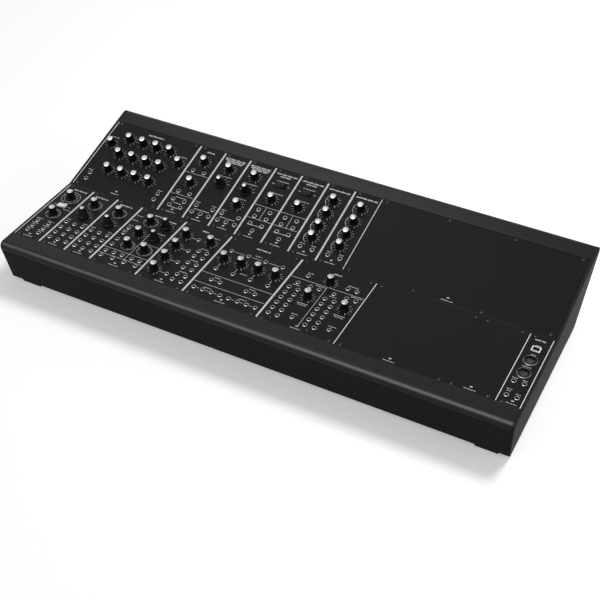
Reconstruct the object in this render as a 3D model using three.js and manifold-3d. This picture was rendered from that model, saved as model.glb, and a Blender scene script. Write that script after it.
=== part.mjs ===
// Desktop modular synthesizer: two rows of patch modules in a low wedge-shaped case.
// Millimetres, +X to the player's right, +Y to the back, +Z up. The origin lies under the middle of the
// case, on the surface that the feet stand on.
import * as THREE from 'three';
import { mergeVertices } from 'three/addons/utils/BufferGeometryUtils.js';
import Module from 'manifold-3d';

const wasm = await Module();
wasm.setup();

// Clearances
const SEAT_GAP = 0.3; // between two pieces that rest on or against each other
const RUN_GAP = 0.35; // round a shaft or a rocker that moves
const OVERRUN = 1; // how far a cutting tool runs past the surface it cuts
const WELD = 0.0001; // corners closer than this are one corner

// Panel grid shared by every module
const GRID_PITCH = 5.08; // one width unit
const ROW_UNITS = 140;
const PANEL_HEIGHT = 128.5;
const PANEL_THICKNESS = 2;
const PANEL_PLAY = 0.3; // a panel is this much narrower than its units
const rowWidth = ROW_UNITS * GRID_PITCH;

// Case section, seen from the left: feet, floor, leaning front and back, level row and tilted row
const FOOT_HEIGHT = 3.5;
const FRONT_HEIGHT = 65; // from the case's underside to the top of the level row
const FRONT_BAND = 28.2; // from the level row's panels to the case's front corner
const REAR_BAND = 37.7; // from the tilted row's panels to the case's rear corner
const FRONT_LEAN = THREE.MathUtils.degToRad(10.7);
const REAR_LEAN = THREE.MathUtils.degToRad(27);
const ROW_TILT = THREE.MathUtils.degToRad(15);
const FRONT_ROUND = 7.5;
const REAR_ROUND = 8;
const FLOOR_ROUND = 4;
const BEND_CLEARANCE = 1.7; // from the bend to the edge of each row's panels
const rowTop = FOOT_HEIGHT + FRONT_HEIGHT;

// Case pieces
const CHEEK_THICKNESS = 5.1; // at the top
const CHEEK_DRAW = 3.8; // how much further in the cheek's outer face is at the floor
const CHEEK_ROUND = 1.2;
const WALL = 2; // sheet of the pan and the rails' covers
const SEAT_DEPTH = 6; // panel edge that lies on a rail
const RAIL_BAR = 8; // height of the bar under the panel's edge
const RAIL_COVER_LAP = 8; // bar under the rail's own cover
const BAND_GAP = 0.5; // between a panel's end and the rail's cover
const FRONT_LIP = 1.1; // how far the front rail's cover reaches down past its round edge
const REAR_LIP = 14; // the same at the back
const FOOT_WIDTH = 30;
const FOOT_DEPTH = 13;
const FOOT_END_INSET = 12.6; // from the pan's end to the foot
const FOOT_INSET = 2; // from the floor's edge to the foot
const ROUND_STEPS = 5;

// Turning knobs
const KNOB_LIFT = 0.7; // under the knob
const KNOB_HEIGHT = 12.7; // from the panel to the cap's top
const KNOB_RADIUS = 5.7;
const KNOB_TOP_RADIUS = 5;
const CAP_RADIUS = 4.2;
const CAP_THICKNESS = 1.1;
const SHAFT_RADIUS = 3;
const SHAFT_DEPTH = 8; // below the panel's face
const KNOB_SIDES = 12;
const JOINED_KNOB_SIDES = 8;
const SHAFT_HOLE_SIDES = 6;

// Rotary switch knobs, with a wide skirt and a narrow grip
const SELECTOR_HEIGHT = 16;
const SELECTOR_SKIRT_RADIUS = 7.6;
const SELECTOR_SKIRT = 2.4;
const SELECTOR_SHOULDER_RADIUS = 6;
const SELECTOR_SHOULDER = 4.6;
const SELECTOR_GRIP_RADIUS = 4.1;
const SELECTOR_CAP_RADIUS = 2.9;
const POINTER_WIDTH = 2.2;
const POINTER_LENGTH = 7; // from the knob's axis
const POINTER_HEIGHT = 9;

// Rocker switches
const ROCKER_WIDTH = 13.2;
const ROCKER_DEPTH = 8;
const ROCKER_RISE = 2.4; // ends above the panel when level
const ROCKER_DIP = 1.4; // middle above the panel
const ROCKER_DROP = 3.6; // below the panel's face
const ROCKER_SHOULDER = 1;
const ROCKER_FOOT_WIDTH = 5;
const ROCKER_PIVOT_DEPTH = 1.2; // below the panel's face
const ROCKER_WALL = 1.8;
const ROCKER_SIDE_GAP = 0.8;
const ROCKER_THROW = THREE.MathUtils.degToRad(8);

// Patch sockets
const NUT_RADIUS = 3.5;
const NUT_HEIGHT = 1.6;
const BORE_RADIUS = 1.85;
const BORE_DEPTH = 9;
const SOCKET_SIDES = 6;
const SOCKET_MARGIN = 4.6; // from a socket's axis to the side of its body

// Circuit board and potentiometers behind each panel
const BODY_DEPTH = 10; // between the panel and its board
const BOARD_THICKNESS = 1.6;
const BOARD_SIDE_INSET = 2.5;
const BOARD_END_INSET = 11;
const POT_WIDTH = 11;

// Heights on the panels, as shares of the panel's height
const SOCKET_BASE_SHARE = 0.1175; // lowest sockets
const SOCKET_STEP_SHARE = 0.086;
const WIDE_STEP_SHARE = 0.0973;
const KNOB_ROW_SHARE = 0.783; // uppermost knobs
const SELECTOR_ROW_SHARE = 0.568;
const LOW_KNOB_ROW_SHARE = 0.367;
const SECTION_PITCH_SHARE = 0.3206; // between the two halves of a split panel
const KNOB_TO_SOCKET_SHARE = 0.1416;
const BAND_ROW_PITCH_SHARE = 0.2358;
const AMPLIFIER_SOCKET_ROW_SHARE = 0.3043;
const AMPLIFIER_SOCKET_STEP_SHARE = 0.0942;
const ENVELOPE_STEP_SHARE = 0.1813;
const ENVELOPE_LAST_STEP_SHARE = 0.1603;
const CHANNEL_BASE_SHARE = 0.1626;
const CHANNEL_PITCH_SHARE = 0.207;
const CHANNEL_STEP_SHARE = 0.0895;
const OSCILLATOR_KNOB_ROW_SHARE = 0.8054;
const OSCILLATOR_KNOB_STEP_SHARE = 0.2296;
const OSCILLATOR_COLUMN_BASE_SHARE = 0.316;
const OSCILLATOR_COLUMN_STEP_SHARE = 0.0957;
const OSCILLATOR_COLUMN_PITCH_SHARE = 0.2101;
const ATTENUATOR_KNOB_ROW_SHARE = 0.6241;
const ATTENUATOR_LOW_ROW_SHARE = 0.4623;
const CONTROLLER_KNOB_ROW_SHARE = 0.4903;
const CONTROLLER_GATE_ROW_SHARE = 0.6467;
const PORT_ROW_SHARE = 0.8031;
const DIN_ROW_SHARE = 0.635;
const DIN_LOW_ROW_SHARE = 0.4506;
const INTERFACE_SOCKET_ROW_SHARE = 0.3152;

// Widths on the panels, in width units
const SOCKET_PITCH_UNITS = 2.5;
const TRIPLE_PITCH_UNITS = 2.58;
const PAIR_PITCH_UNITS = 3.5;
const BAND_PITCH_UNITS = 4.49;
const CHANNEL_KNOB_UNITS = 3.82; // from the panel's middle, as all that follow
const CHANNEL_GROUP_UNITS = 3.66;
const OSCILLATOR_KNOB_UNITS = 1.26;
const OSCILLATOR_SELECTOR_UNITS = 3.48;
const OSCILLATOR_LOW_KNOB_UNITS = 3.92;
const CONTROLLER_KNOB_UNITS = 2.38; // from the middle of each half
const CONTROLLER_GRID_UNITS = 3.6;
const CONTROLLER_GATE_UNITS = 1.1;
const CONTROLLER_TRIGGER_UNITS = 4.84;

// Round and square connectors of the interface module
const PORT_WIDTH = 8.2;
const PORT_HEIGHT = 6.4;
const PORT_FRAME = 1.6;
const PORT_RISE = 0.8;
const DIN_RADIUS = 7;
const DIN_RIM = 1.5;
const DIN_RISE = 1;
const DIN_SIDES = 12;
const CONNECTOR_DEPTH = 8;

// Power entry on the back
const ENTRY_HEIGHT = 42; // above the floor, along the leaning wall
const ENTRY_END_INSET = 105.6; // from the case's right end
const ENTRY_TALL = 22;
const ENTRY_THICKNESS = 2;
const ENTRY_LAP = 3; // plate that overlaps the wall round the hole
const ENTRY_SPREAD = 21; // between the inlet and the switch
const INLET_RADIUS = 4.2;
const INLET_HOLE_RADIUS = 2.8;
const INLET_PIN_RADIUS = 1;
const INLET_RISE = 1;
const INLET_SIDES = 12;
const ENTRY_BODY_DEPTH = 10;

// Boards on the floor
const STANDOFF_HEIGHT = 5;
const STANDOFF_WIDTH = 6;
const STANDOFF_INSET = 5;
const BUS_END_INSET = 55.6; // from each end of the case
const BUS_DEPTH = 46;
const BUS_PLACE = 30; // in front of the bend
const HEADER_WIDTH = 9;
const HEADER_DEPTH = 28;
const HEADER_HEIGHT = 9;
const HEADER_PITCH = 30;
const HEADER_END_INSET = 25; // from the board's end to the first header
const POWER_LENGTH = 150;
const POWER_DEPTH = 60;
const POWER_END_INSET = 65.6; // from the case's right end
const POWER_REAR_INSET = 21.9; // from the floor's rear edge
const CAPACITOR_RADIUS = 6;
const CAPACITOR_HEIGHT = 20;
const CAPACITOR_PITCH = 20;
const CAPACITOR_COUNT = 3;
const CAPACITOR_SIDES = 8;
const CONVERTER_SIZE = 36;
const CONVERTER_HEIGHT = 14;

// Finishes
const finish = (color, roughness, metalness) =>
  new THREE.MeshStandardMaterial({ color, roughness, metalness });
const CASE_FINISH = finish(0x2b2b2c, 0.55, 0.3);
const CHEEK_FINISH = finish(0x2e2e2f, 0.5, 0.1);
const PANEL_FINISH = finish(0x222224, 0.5, 0.4);
const RAIL_FINISH = finish(0x303031, 0.5, 0.5);
const KNOB_FINISH = finish(0x161617, 0.45, 0);
const WHITE_ROCKER_FINISH = finish(0xe9e9e6, 0.4, 0);
const BLACK_ROCKER_FINISH = finish(0x1c1c1d, 0.4, 0);
const BOARD_FINISH = finish(0x1d4a2c, 0.6, 0.1);

// A geometry becomes a closed solid: equal corners are welded and collapsed triangles left out.
function solidOf(geometry) {
  const bare = geometry.clone();
  bare.deleteAttribute('normal');
  bare.deleteAttribute('uv');
  const welded = mergeVertices(bare, WELD);
  const corners = welded.index.array;
  const kept = [];
  for (let i = 0; i < corners.length; i += 3) {
    const [a, b, c] = [corners[i], corners[i + 1], corners[i + 2]];
    if (a !== b && b !== c && c !== a) kept.push(a, b, c);
  }
  const vertProperties = new Float32Array(welded.attributes.position.array);
  return new wasm.Manifold(new wasm.Mesh({ numProp: 3, vertProperties, triVerts: new Uint32Array(kept) }));
}

function geometryOf(solid) {
  const { vertProperties, triVerts } = solid.asOriginal().getMesh();
  const geometry = new THREE.BufferGeometry();
  geometry.setAttribute('position', new THREE.BufferAttribute(vertProperties, 3));
  geometry.setIndex(new THREE.BufferAttribute(triVerts, 1));
  geometry.computeVertexNormals();
  return geometry;
}

const joined = (solids) => solids.reduce((whole, piece) => whole.add(piece));
const cut = (solid, tools) => tools.reduce((rest, tool) => rest.subtract(tool), solid);

function pieceOf(name, solid, material) {
  const mesh = new THREE.Mesh(geometryOf(solid), material);
  mesh.name = name;
  return mesh;
}

// A block between two opposite corners.
function block([x0, y0, z0], [x1, y1, z1]) {
  const geometry = new THREE.BoxGeometry(x1 - x0, y1 - y0, z1 - z0);
  return geometry.translate((x0 + x1) / 2, (y0 + y1) / 2, (z0 + z1) / 2);
}

// An upright prism of a regular outline round (x, y), from one height to another.
function prism(sides, radius, x, y, low, high) {
  const geometry = new THREE.CylinderGeometry(radius, radius, high - low, sides);
  return geometry.rotateX(Math.PI / 2).translate(x, y, (low + high) / 2);
}

// A turned piece: the profile runs from the axis out and back to the axis, as [radius, height] pairs.
function turned(profile, sides) {
  const points = profile.map(([radius, height]) => new THREE.Vector2(radius, height));
  return new THREE.LatheGeometry(points, sides).rotateX(Math.PI / 2);
}

// A case section drawn as [y, z] points, run along X over the given length, centred.
function alongCase(outline, length) {
  const shape = new THREE.Shape(outline.map(([y, z]) => new THREE.Vector2(y, z)));
  const geometry = new THREE.ExtrudeGeometry(shape, { depth: length, bevelEnabled: false });
  const toCase = new THREE.Matrix4().makeBasis(
    new THREE.Vector3(0, 1, 0),
    new THREE.Vector3(0, 0, 1),
    new THREE.Vector3(1, 0, 0),
  );
  return geometry.applyMatrix4(toCase).translate(-length / 2, 0, 0);
}

// Points of the case section. The rows meet at the bend, which lies over y = 0 before centring.
const frontSlope = Math.tan(FRONT_LEAN);
const rearSlope = Math.tan(REAR_LEAN);
const levelPoint = (s, h) => [s, rowTop + h];
const tiltedPoint = (s, h) => [
  s * Math.cos(ROW_TILT) - h * Math.sin(ROW_TILT),
  rowTop + s * Math.sin(ROW_TILT) + h * Math.cos(ROW_TILT),
];
const rowEnd = BEND_CLEARANCE + PANEL_HEIGHT; // from the bend to a row's far edge
const frontCorner = levelPoint(-rowEnd - FRONT_BAND, 0);
const rearCorner = tiltedPoint(rowEnd + REAR_BAND, 0);
const frontAt = (z) => frontCorner[0] + (frontCorner[1] - z) * frontSlope;
const rearAt = (z) => rearCorner[0] - (rearCorner[1] - z) * rearSlope;
const floorFront = [frontAt(FOOT_HEIGHT), FOOT_HEIGHT];
const floorRear = [rearAt(FOOT_HEIGHT), FOOT_HEIGHT];

// How far a round corner between a row and a leaning wall reaches down that wall.
const roundReach = (radius, lean) => radius * Math.tan((Math.PI / 2 + lean) / 2);

// A corner between two neighbours becomes an arc of the given radius.
function arcAt(before, corner, after, radius) {
  const point = new THREE.Vector2(...corner);
  const toBefore = new THREE.Vector2(...before).sub(point).normalize();
  const toAfter = new THREE.Vector2(...after).sub(point).normalize();
  const half = Math.acos(THREE.MathUtils.clamp(toBefore.dot(toAfter), -1, 1)) / 2;
  const reach = radius / Math.tan(half);
  const middle = toBefore.clone().add(toAfter).normalize();
  middle.multiplyScalar(radius / Math.sin(half)).add(point);
  const start = toBefore.multiplyScalar(reach).add(point);
  const end = toAfter.multiplyScalar(reach).add(point);
  const from = Math.atan2(start.y - middle.y, start.x - middle.x);
  const sweep = Math.atan2(end.y - middle.y, end.x - middle.x) - from;
  const turn = sweep - 2 * Math.PI * Math.round(sweep / (2 * Math.PI));
  return Array.from({ length: ROUND_STEPS + 1 }, (_, i) => {
    const angle = from + (turn * i) / ROUND_STEPS;
    return [middle.x + radius * Math.cos(angle), middle.y + radius * Math.sin(angle)];
  });
}

// An open path moved to its left by a distance, with mitred corners.
function offsetPath(path, distance) {
  const sides = path.slice(1).map(([y, z], i) => {
    const along = new THREE.Vector2(y - path[i][0], z - path[i][1]).normalize();
    return new THREE.Vector2(-along.y, along.x);
  });
  return path.map(([y, z], i) => {
    const before = sides[Math.max(i - 1, 0)];
    const after = sides[Math.min(i, sides.length - 1)];
    const mitre = before.clone().add(after);
    const scale = (2 * distance) / mitre.lengthSq();
    return [y + mitre.x * scale, z + mitre.y * scale];
  });
}

// Inner corners of a path are rounded with the radii given for them.
function roundPath(path, radii) {
  const inner = radii.flatMap((radius, i) => arcAt(path[i], path[i + 1], path[i + 2], radius));
  return [path[0], ...inner, path[path.length - 1]];
}

// A bent sheet: the path is its outer face, and the wall lies on the path's left.
function sheetOutline(path, radii) {
  const inside = offsetPath(path, WALL);
  const outer = roundPath(path, radii);
  return [...outer, ...roundPath(inside, radii.map((radius) => radius - WALL)).reverse()];
}

// Front rail: cover of the front edge with the bar that carries the level row's panels.
const frontLip = (roundReach(FRONT_ROUND, FRONT_LEAN) + FRONT_LIP) * Math.cos(FRONT_LEAN);
const frontLipEnd = rowTop - frontLip;

function frontRail() {
  const coverEnd = -rowEnd - BAND_GAP;
  const path = [levelPoint(coverEnd, 0), frontCorner, [frontAt(frontLipEnd), frontLipEnd]];
  const cover = sheetOutline(path, [FRONT_ROUND]);
  const seat = -PANEL_THICKNESS - SEAT_GAP;
  const bar = [
    levelPoint(coverEnd - RAIL_COVER_LAP, seat - RAIL_BAR),
    levelPoint(-rowEnd + SEAT_DEPTH, seat - RAIL_BAR),
    levelPoint(-rowEnd + SEAT_DEPTH, seat),
    levelPoint(coverEnd, seat),
    levelPoint(coverEnd, -WALL / 2),
    levelPoint(coverEnd - RAIL_COVER_LAP, -WALL / 2),
  ];
  return joined([solidOf(alongCase(cover, rowWidth)), solidOf(alongCase(bar, rowWidth))]);
}

// Rear rail: the same at the far edge of the tilted row.
const rearLip = (roundReach(REAR_ROUND, ROW_TILT + REAR_LEAN) + REAR_LIP) * Math.cos(REAR_LEAN);
const rearLipEnd = rearCorner[1] - rearLip;

function rearRail() {
  const coverEnd = rowEnd + BAND_GAP;
  const path = [[rearAt(rearLipEnd), rearLipEnd], rearCorner, tiltedPoint(coverEnd, 0)];
  const cover = sheetOutline(path, [REAR_ROUND]);
  const seat = -PANEL_THICKNESS - SEAT_GAP;
  const bar = [
    tiltedPoint(rowEnd - SEAT_DEPTH, seat - RAIL_BAR),
    tiltedPoint(coverEnd + RAIL_COVER_LAP, seat - RAIL_BAR),
    tiltedPoint(coverEnd + RAIL_COVER_LAP, -WALL / 2),
    tiltedPoint(coverEnd, -WALL / 2),
    tiltedPoint(coverEnd, seat),
    tiltedPoint(rowEnd - SEAT_DEPTH, seat),
  ];
  return joined([solidOf(alongCase(cover, rowWidth)), solidOf(alongCase(bar, rowWidth))]);
}

// Middle rail: one bent bar under the inner edges of both rows.
function middleRail() {
  const seat = PANEL_THICKNESS + SEAT_GAP;
  const reach = BEND_CLEARANCE + SEAT_DEPTH;
  const mitre = Math.tan(ROW_TILT / 2);
  const bar = [
    levelPoint(-reach, -seat - RAIL_BAR),
    [(seat + RAIL_BAR) * mitre, rowTop - seat - RAIL_BAR],
    tiltedPoint(reach, -seat - RAIL_BAR),
    tiltedPoint(reach, -seat),
    [seat * mitre, rowTop - seat],
    levelPoint(-reach, -seat),
  ];
  return solidOf(alongCase(bar, rowWidth));
}

// The power entry's place on the leaning back wall: its own Z axis points out of the wall.
const entryHeight = FOOT_HEIGHT + ENTRY_HEIGHT * Math.cos(REAR_LEAN);
const entryPlace = new THREE.Object3D();
entryPlace.position.set(rowWidth / 2 - ENTRY_END_INSET, rearAt(entryHeight), entryHeight);
entryPlace.rotation.x = -Math.PI / 2 - REAR_LEAN;
entryPlace.updateMatrix();

// A rocker switch's pocket, and the housing round it.
const pocketWidth = ROCKER_WIDTH / 2 + ROCKER_SIDE_GAP;
const pocketDepth = ROCKER_DEPTH / 2 + SEAT_GAP;
const pocketFloor = -ROCKER_DROP - ROCKER_SIDE_GAP;
const housingWidth = pocketWidth + ROCKER_WALL;
const housingDepth = pocketDepth + ROCKER_WALL;

// Half sizes of the power entry: its body, the hole for it in the wall, and its plate.
const entryBody = [ENTRY_SPREAD / 2 + housingWidth, ENTRY_TALL / 2 - ENTRY_LAP - SEAT_GAP];
const entryHole = entryBody.map((half) => half + SEAT_GAP);
const entryPlateHalf = entryHole.map((half) => half + ENTRY_LAP);

// Floor pan: front wall, floor and back wall bent from one sheet, with four moulded feet.
function floorPan() {
  const frontTop = frontLipEnd - SEAT_GAP;
  const rearTop = rearLipEnd - SEAT_GAP;
  const path = [[frontAt(frontTop), frontTop], floorFront, floorRear, [rearAt(rearTop), rearTop]];
  const pan = solidOf(alongCase(sheetOutline(path, [FLOOR_ROUND, FLOOR_ROUND]), rowWidth));
  const footMiddle = (rowWidth - FOOT_WIDTH) / 2 - FOOT_END_INSET;
  const feet = [-footMiddle, footMiddle].flatMap((x) => {
    const front = floorFront[0] + FOOT_INSET;
    const rear = floorRear[0] - FOOT_INSET;
    return [front, rear - FOOT_DEPTH].map((y) => {
      const low = [x - FOOT_WIDTH / 2, y, 0];
      return solidOf(block(low, [x + FOOT_WIDTH / 2, y + FOOT_DEPTH, FOOT_HEIGHT + WALL / 2]));
    });
  });
  const [wide, tall] = entryHole;
  const hole = block([-wide, -tall, -WALL - OVERRUN], [wide, tall, OVERRUN]);
  return cut(joined([pan, ...feet]), [solidOf(hole.applyMatrix4(entryPlace.matrix))]);
}

// End cheek: a plate of the whole section with a rounded outer edge, drawn in towards the floor.
function endCheek() {
  const bend = levelPoint(0, 0);
  const outline = [
    ...arcAt(frontCorner, floorFront, floorRear, FLOOR_ROUND),
    ...arcAt(floorFront, floorRear, rearCorner, FLOOR_ROUND),
    ...arcAt(floorRear, rearCorner, bend, REAR_ROUND),
    bend,
    ...arcAt(bend, frontCorner, floorFront, FRONT_ROUND),
  ];
  const shape = new THREE.Shape(outline.map(([y, z]) => new THREE.Vector2(y, z)));
  const depth = CHEEK_THICKNESS - CHEEK_ROUND;
  const plate = solidOf(new THREE.ExtrudeGeometry(shape, {
    depth,
    bevelSize: CHEEK_ROUND,
    bevelThickness: CHEEK_ROUND,
    bevelOffset: -CHEEK_ROUND,
    bevelSegments: 2,
  }));
  const far = rearCorner[0] + OVERRUN;
  const inside = block([-far, 0, -CHEEK_ROUND - OVERRUN], [far, rearCorner[1] + OVERRUN, 0]);
  const geometry = geometryOf(cut(plate, [solidOf(inside)]));
  const places = geometry.attributes.position;
  const rise = rearCorner[1] - FOOT_HEIGHT;
  for (let i = 0; i < places.count; i += 1) {
    const [y, z, across] = [places.getX(i), places.getY(i), places.getZ(i)];
    const draw = (CHEEK_DRAW / CHEEK_THICKNESS) * ((rearCorner[1] - z) / rise);
    places.setXYZ(i, across * (1 - draw), y, z);
  }
  geometry.computeVertexNormals();
  return geometry;
}

// The same shape on the other side of the case.
function mirrored(geometry) {
  const other = geometry.clone().scale(-1, 1, 1);
  const corners = other.index.array;
  for (let i = 0; i < corners.length; i += 3) [corners[i], corners[i + 1]] = [corners[i + 1], corners[i]];
  other.computeVertexNormals();
  return other;
}

// Places on a panel are [across, up]: width units from its middle, and a share of its height from its
// lower edge.
const spread = (count, pitch, middle = 0) =>
  Array.from({ length: count }, (_, i) => middle + (i - (count - 1) / 2) * pitch);
const climb = (count, step, start) => Array.from({ length: count }, (_, i) => start + i * step);
const grid = (columns, rows) => rows.flatMap((up) => columns.map((across) => [across, up]));
const single = (across, up) => ({ columns: [across], rows: [up] });
const pair = spread(2, PAIR_PITCH_UNITS);
const triple = spread(3, TRIPLE_PITCH_UNITS);
const twin = spread(2, SOCKET_PITCH_UNITS);
const lowTwo = climb(2, SOCKET_STEP_SHARE, SOCKET_BASE_SHARE);
const bandEdges = spread(2, 5 * BAND_PITCH_UNITS);
const sectionRows = [KNOB_ROW_SHARE, KNOB_ROW_SHARE - SECTION_PITCH_SHARE];
const channels = climb(4, CHANNEL_PITCH_SHARE, CHANNEL_BASE_SHARE);
const attenuatorColumns = spread(4, 2 * SOCKET_PITCH_UNITS);
const oscillatorColumns = spread(4, PAIR_PITCH_UNITS);
const oscillatorRows = climb(2, -OSCILLATOR_KNOB_STEP_SHARE, OSCILLATOR_KNOB_ROW_SHARE);
const controllerHalves = spread(2, 4 * SOCKET_PITCH_UNITS);
const filterSockets = [
  { columns: triple, rows: [SOCKET_BASE_SHARE] },
  single(triple[0], SOCKET_BASE_SHARE + WIDE_STEP_SHARE),
  single(triple[2], SOCKET_BASE_SHARE + WIDE_STEP_SHARE),
];

const envelope = (name) => ({
  name,
  units: 8,
  joinedKnobs: [
    ...climb(3, -ENVELOPE_STEP_SHARE, KNOB_ROW_SHARE).map((up) => [0, up]),
    [0, KNOB_ROW_SHARE - 2 * ENVELOPE_STEP_SHARE - ENVELOPE_LAST_STEP_SHARE],
  ],
  sockets: [{ columns: pair, rows: [SOCKET_BASE_SHARE] }],
});

const amplifier = (name) => ({
  name,
  units: 8,
  knobs: [[0, SELECTOR_ROW_SHARE]],
  rockers: [[0, KNOB_ROW_SHARE]],
  sockets: [
    single(0, SOCKET_BASE_SHARE),
    { columns: pair, rows: [SOCKET_BASE_SHARE + SOCKET_STEP_SHARE] },
    { columns: pair, rows: climb(2, AMPLIFIER_SOCKET_STEP_SHARE, AMPLIFIER_SOCKET_ROW_SHARE) },
  ],
});

const oscillator = (name) => ({
  name,
  units: 8,
  knobs: [[0, KNOB_ROW_SHARE]],
  selectors: [[0, SELECTOR_ROW_SHARE]],
  sockets: [{ columns: triple, rows: climb(4, WIDE_STEP_SHARE, SOCKET_BASE_SHARE) }],
});

// Tilted row, from left to right
const TILTED_ROW = [
  {
    name: 'filter_bank',
    units: 28,
    joinedKnobs: [
      ...bandEdges.map((across) => [across, KNOB_ROW_SHARE - BAND_ROW_PITCH_SHARE / 2]),
      ...grid(spread(4, BAND_PITCH_UNITS), climb(3, -BAND_ROW_PITCH_SHARE, KNOB_ROW_SHARE)),
    ],
    sockets: bandEdges.map((across) => ({ columns: [across], rows: lowTwo })),
  },
  {
    name: 'noise_source',
    units: 8,
    knobs: sectionRows.map((up) => [0, up]),
    sockets: [
      { columns: pair, rows: lowTwo },
      ...sectionRows.map((up) => ({ columns: pair, rows: [up - KNOB_TO_SOCKET_SHARE] })),
    ],
  },
  {
    name: 'high_pass_filter',
    units: 8,
    knobs: [[0, KNOB_ROW_SHARE]],
    selectors: [[0, SELECTOR_ROW_SHARE]],
    sockets: filterSockets,
  },
  {
    name: 'low_pass_filter',
    units: 8,
    knobs: [[0, KNOB_ROW_SHARE], [0, LOW_KNOB_ROW_SHARE]],
    selectors: [[0, SELECTOR_ROW_SHARE]],
    sockets: filterSockets,
  },
  amplifier('first_amplifier'),
  amplifier('second_amplifier'),
  envelope('first_envelope'),
  envelope('second_envelope'),
  { name: 'upper_blank', fillsRow: true },
];

// Level row, from left to right
const LEVEL_ROW = [
  {
    name: 'oscillator_driver',
    units: 8,
    knobs: sectionRows.map((up) => [0, up]),
    rockers: [[0, KNOB_ROW_SHARE - SECTION_PITCH_SHARE / 2]],
    whiteRocker: true,
    sockets: [{ columns: pair, rows: climb(3, SOCKET_STEP_SHARE, SOCKET_BASE_SHARE) }],
  },
  oscillator('first_oscillator'),
  oscillator('second_oscillator'),
  {
    name: 'voltage_oscillator',
    units: 14,
    knobs: [
      ...oscillatorRows.map((up) => [-OSCILLATOR_KNOB_UNITS, up]),
      [-OSCILLATOR_KNOB_UNITS, LOW_KNOB_ROW_SHARE],
      [OSCILLATOR_LOW_KNOB_UNITS, LOW_KNOB_ROW_SHARE],
    ],
    selectors: oscillatorRows.map((up) => [OSCILLATOR_SELECTOR_UNITS, up]),
    sockets: [
      { columns: oscillatorColumns, rows: [SOCKET_BASE_SHARE] },
      {
        columns: climb(3, SOCKET_PITCH_UNITS, oscillatorColumns[0]),
        rows: [SOCKET_BASE_SHARE + SOCKET_STEP_SHARE],
      },
      {
        columns: climb(2, -SOCKET_PITCH_UNITS, oscillatorColumns[3]),
        rows: [SOCKET_BASE_SHARE + SOCKET_STEP_SHARE],
      },
      ...climb(2, OSCILLATOR_COLUMN_PITCH_SHARE, OSCILLATOR_COLUMN_BASE_SHARE).map((up) => ({
        columns: [oscillatorColumns[0]],
        rows: climb(2, OSCILLATOR_COLUMN_STEP_SHARE, up),
      })),
    ],
  },
  {
    name: 'mixer',
    units: 14,
    joinedKnobs: [
      ...channels.map((up) => [-CHANNEL_KNOB_UNITS, up]),
      [CHANNEL_GROUP_UNITS, channels[3]],
    ],
    sockets: [
      ...channels.map((up) => single(0, up)),
      ...channels.slice(0, 3).map((up) => ({
        columns: spread(2, SOCKET_PITCH_UNITS, CHANNEL_GROUP_UNITS),
        rows: spread(2, CHANNEL_STEP_SHARE, up),
      })),
    ],
  },
  {
    name: 'attenuator',
    units: 21,
    knobs: attenuatorColumns.map((across) => [across, ATTENUATOR_KNOB_ROW_SHARE]),
    sockets: [
      ...attenuatorColumns.map((across) => single(across, KNOB_ROW_SHARE)),
      ...attenuatorColumns.map((across) => single(across, ATTENUATOR_LOW_ROW_SHARE)),
      ...spread(2, 4 * SOCKET_PITCH_UNITS).map((across) => ({
        columns: spread(2, SOCKET_PITCH_UNITS, across),
        rows: [SOCKET_BASE_SHARE + 2 * SOCKET_STEP_SHARE],
      })),
      { columns: spread(8, SOCKET_PITCH_UNITS), rows: [SOCKET_BASE_SHARE] },
    ],
  },
  {
    name: 'controller',
    units: 21,
    knobs: [
      [0, KNOB_ROW_SHARE],
      ...controllerHalves.map((half) => [half + CONTROLLER_KNOB_UNITS, CONTROLLER_KNOB_ROW_SHARE]),
    ],
    sockets: [
      single(-2.5 * SOCKET_PITCH_UNITS, KNOB_ROW_SHARE),
      { columns: climb(2, SOCKET_PITCH_UNITS, CONTROLLER_TRIGGER_UNITS), rows: [KNOB_ROW_SHARE] },
      ...controllerHalves.flatMap((half) => [
        single(half - CONTROLLER_KNOB_UNITS, CONTROLLER_GATE_ROW_SHARE),
        {
          columns: climb(2, SOCKET_PITCH_UNITS, half + CONTROLLER_GATE_UNITS),
          rows: [CONTROLLER_GATE_ROW_SHARE],
        },
        {
          columns: climb(2, SOCKET_PITCH_UNITS, half - CONTROLLER_GRID_UNITS),
          rows: climb(6, SOCKET_STEP_SHARE, SOCKET_BASE_SHARE),
        },
        single(half + CONTROLLER_KNOB_UNITS, SOCKET_BASE_SHARE + SOCKET_STEP_SHARE / 2),
      ]),
    ],
  },
  { name: 'lower_wide_blank', fillsRow: true },
  { name: 'lower_narrow_blank', units: 12 },
  {
    name: 'interface',
    units: 6,
    ports: [[0, PORT_ROW_SHARE]],
    dins: [[0, DIN_ROW_SHARE], [0, DIN_LOW_ROW_SHARE]],
    sockets: [
      { columns: twin, rows: [SOCKET_BASE_SHARE] },
      { columns: twin, rows: [INTERFACE_SOCKET_ROW_SHARE] },
    ],
  },
];

const panelFloor = -PANEL_THICKNESS;
const boardTop = panelFloor - BODY_DEPTH;
const boardFloor = boardTop - BOARD_THICKNESS;

// Upper part of a potentiometer knob: a slight taper with a bevelled cap.
const knobTop = [
  [KNOB_TOP_RADIUS, KNOB_HEIGHT - CAP_THICKNESS],
  [CAP_RADIUS, KNOB_HEIGHT],
  [0, KNOB_HEIGHT],
];

// Potentiometer knob on its shaft, turned about the panel's normal.
function knobShape() {
  const shaft = [[0, -SHAFT_DEPTH], [SHAFT_RADIUS, -SHAFT_DEPTH], [SHAFT_RADIUS, KNOB_LIFT]];
  return solidOf(turned([...shaft, [KNOB_RADIUS, KNOB_LIFT], ...knobTop], KNOB_SIDES));
}

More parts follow.
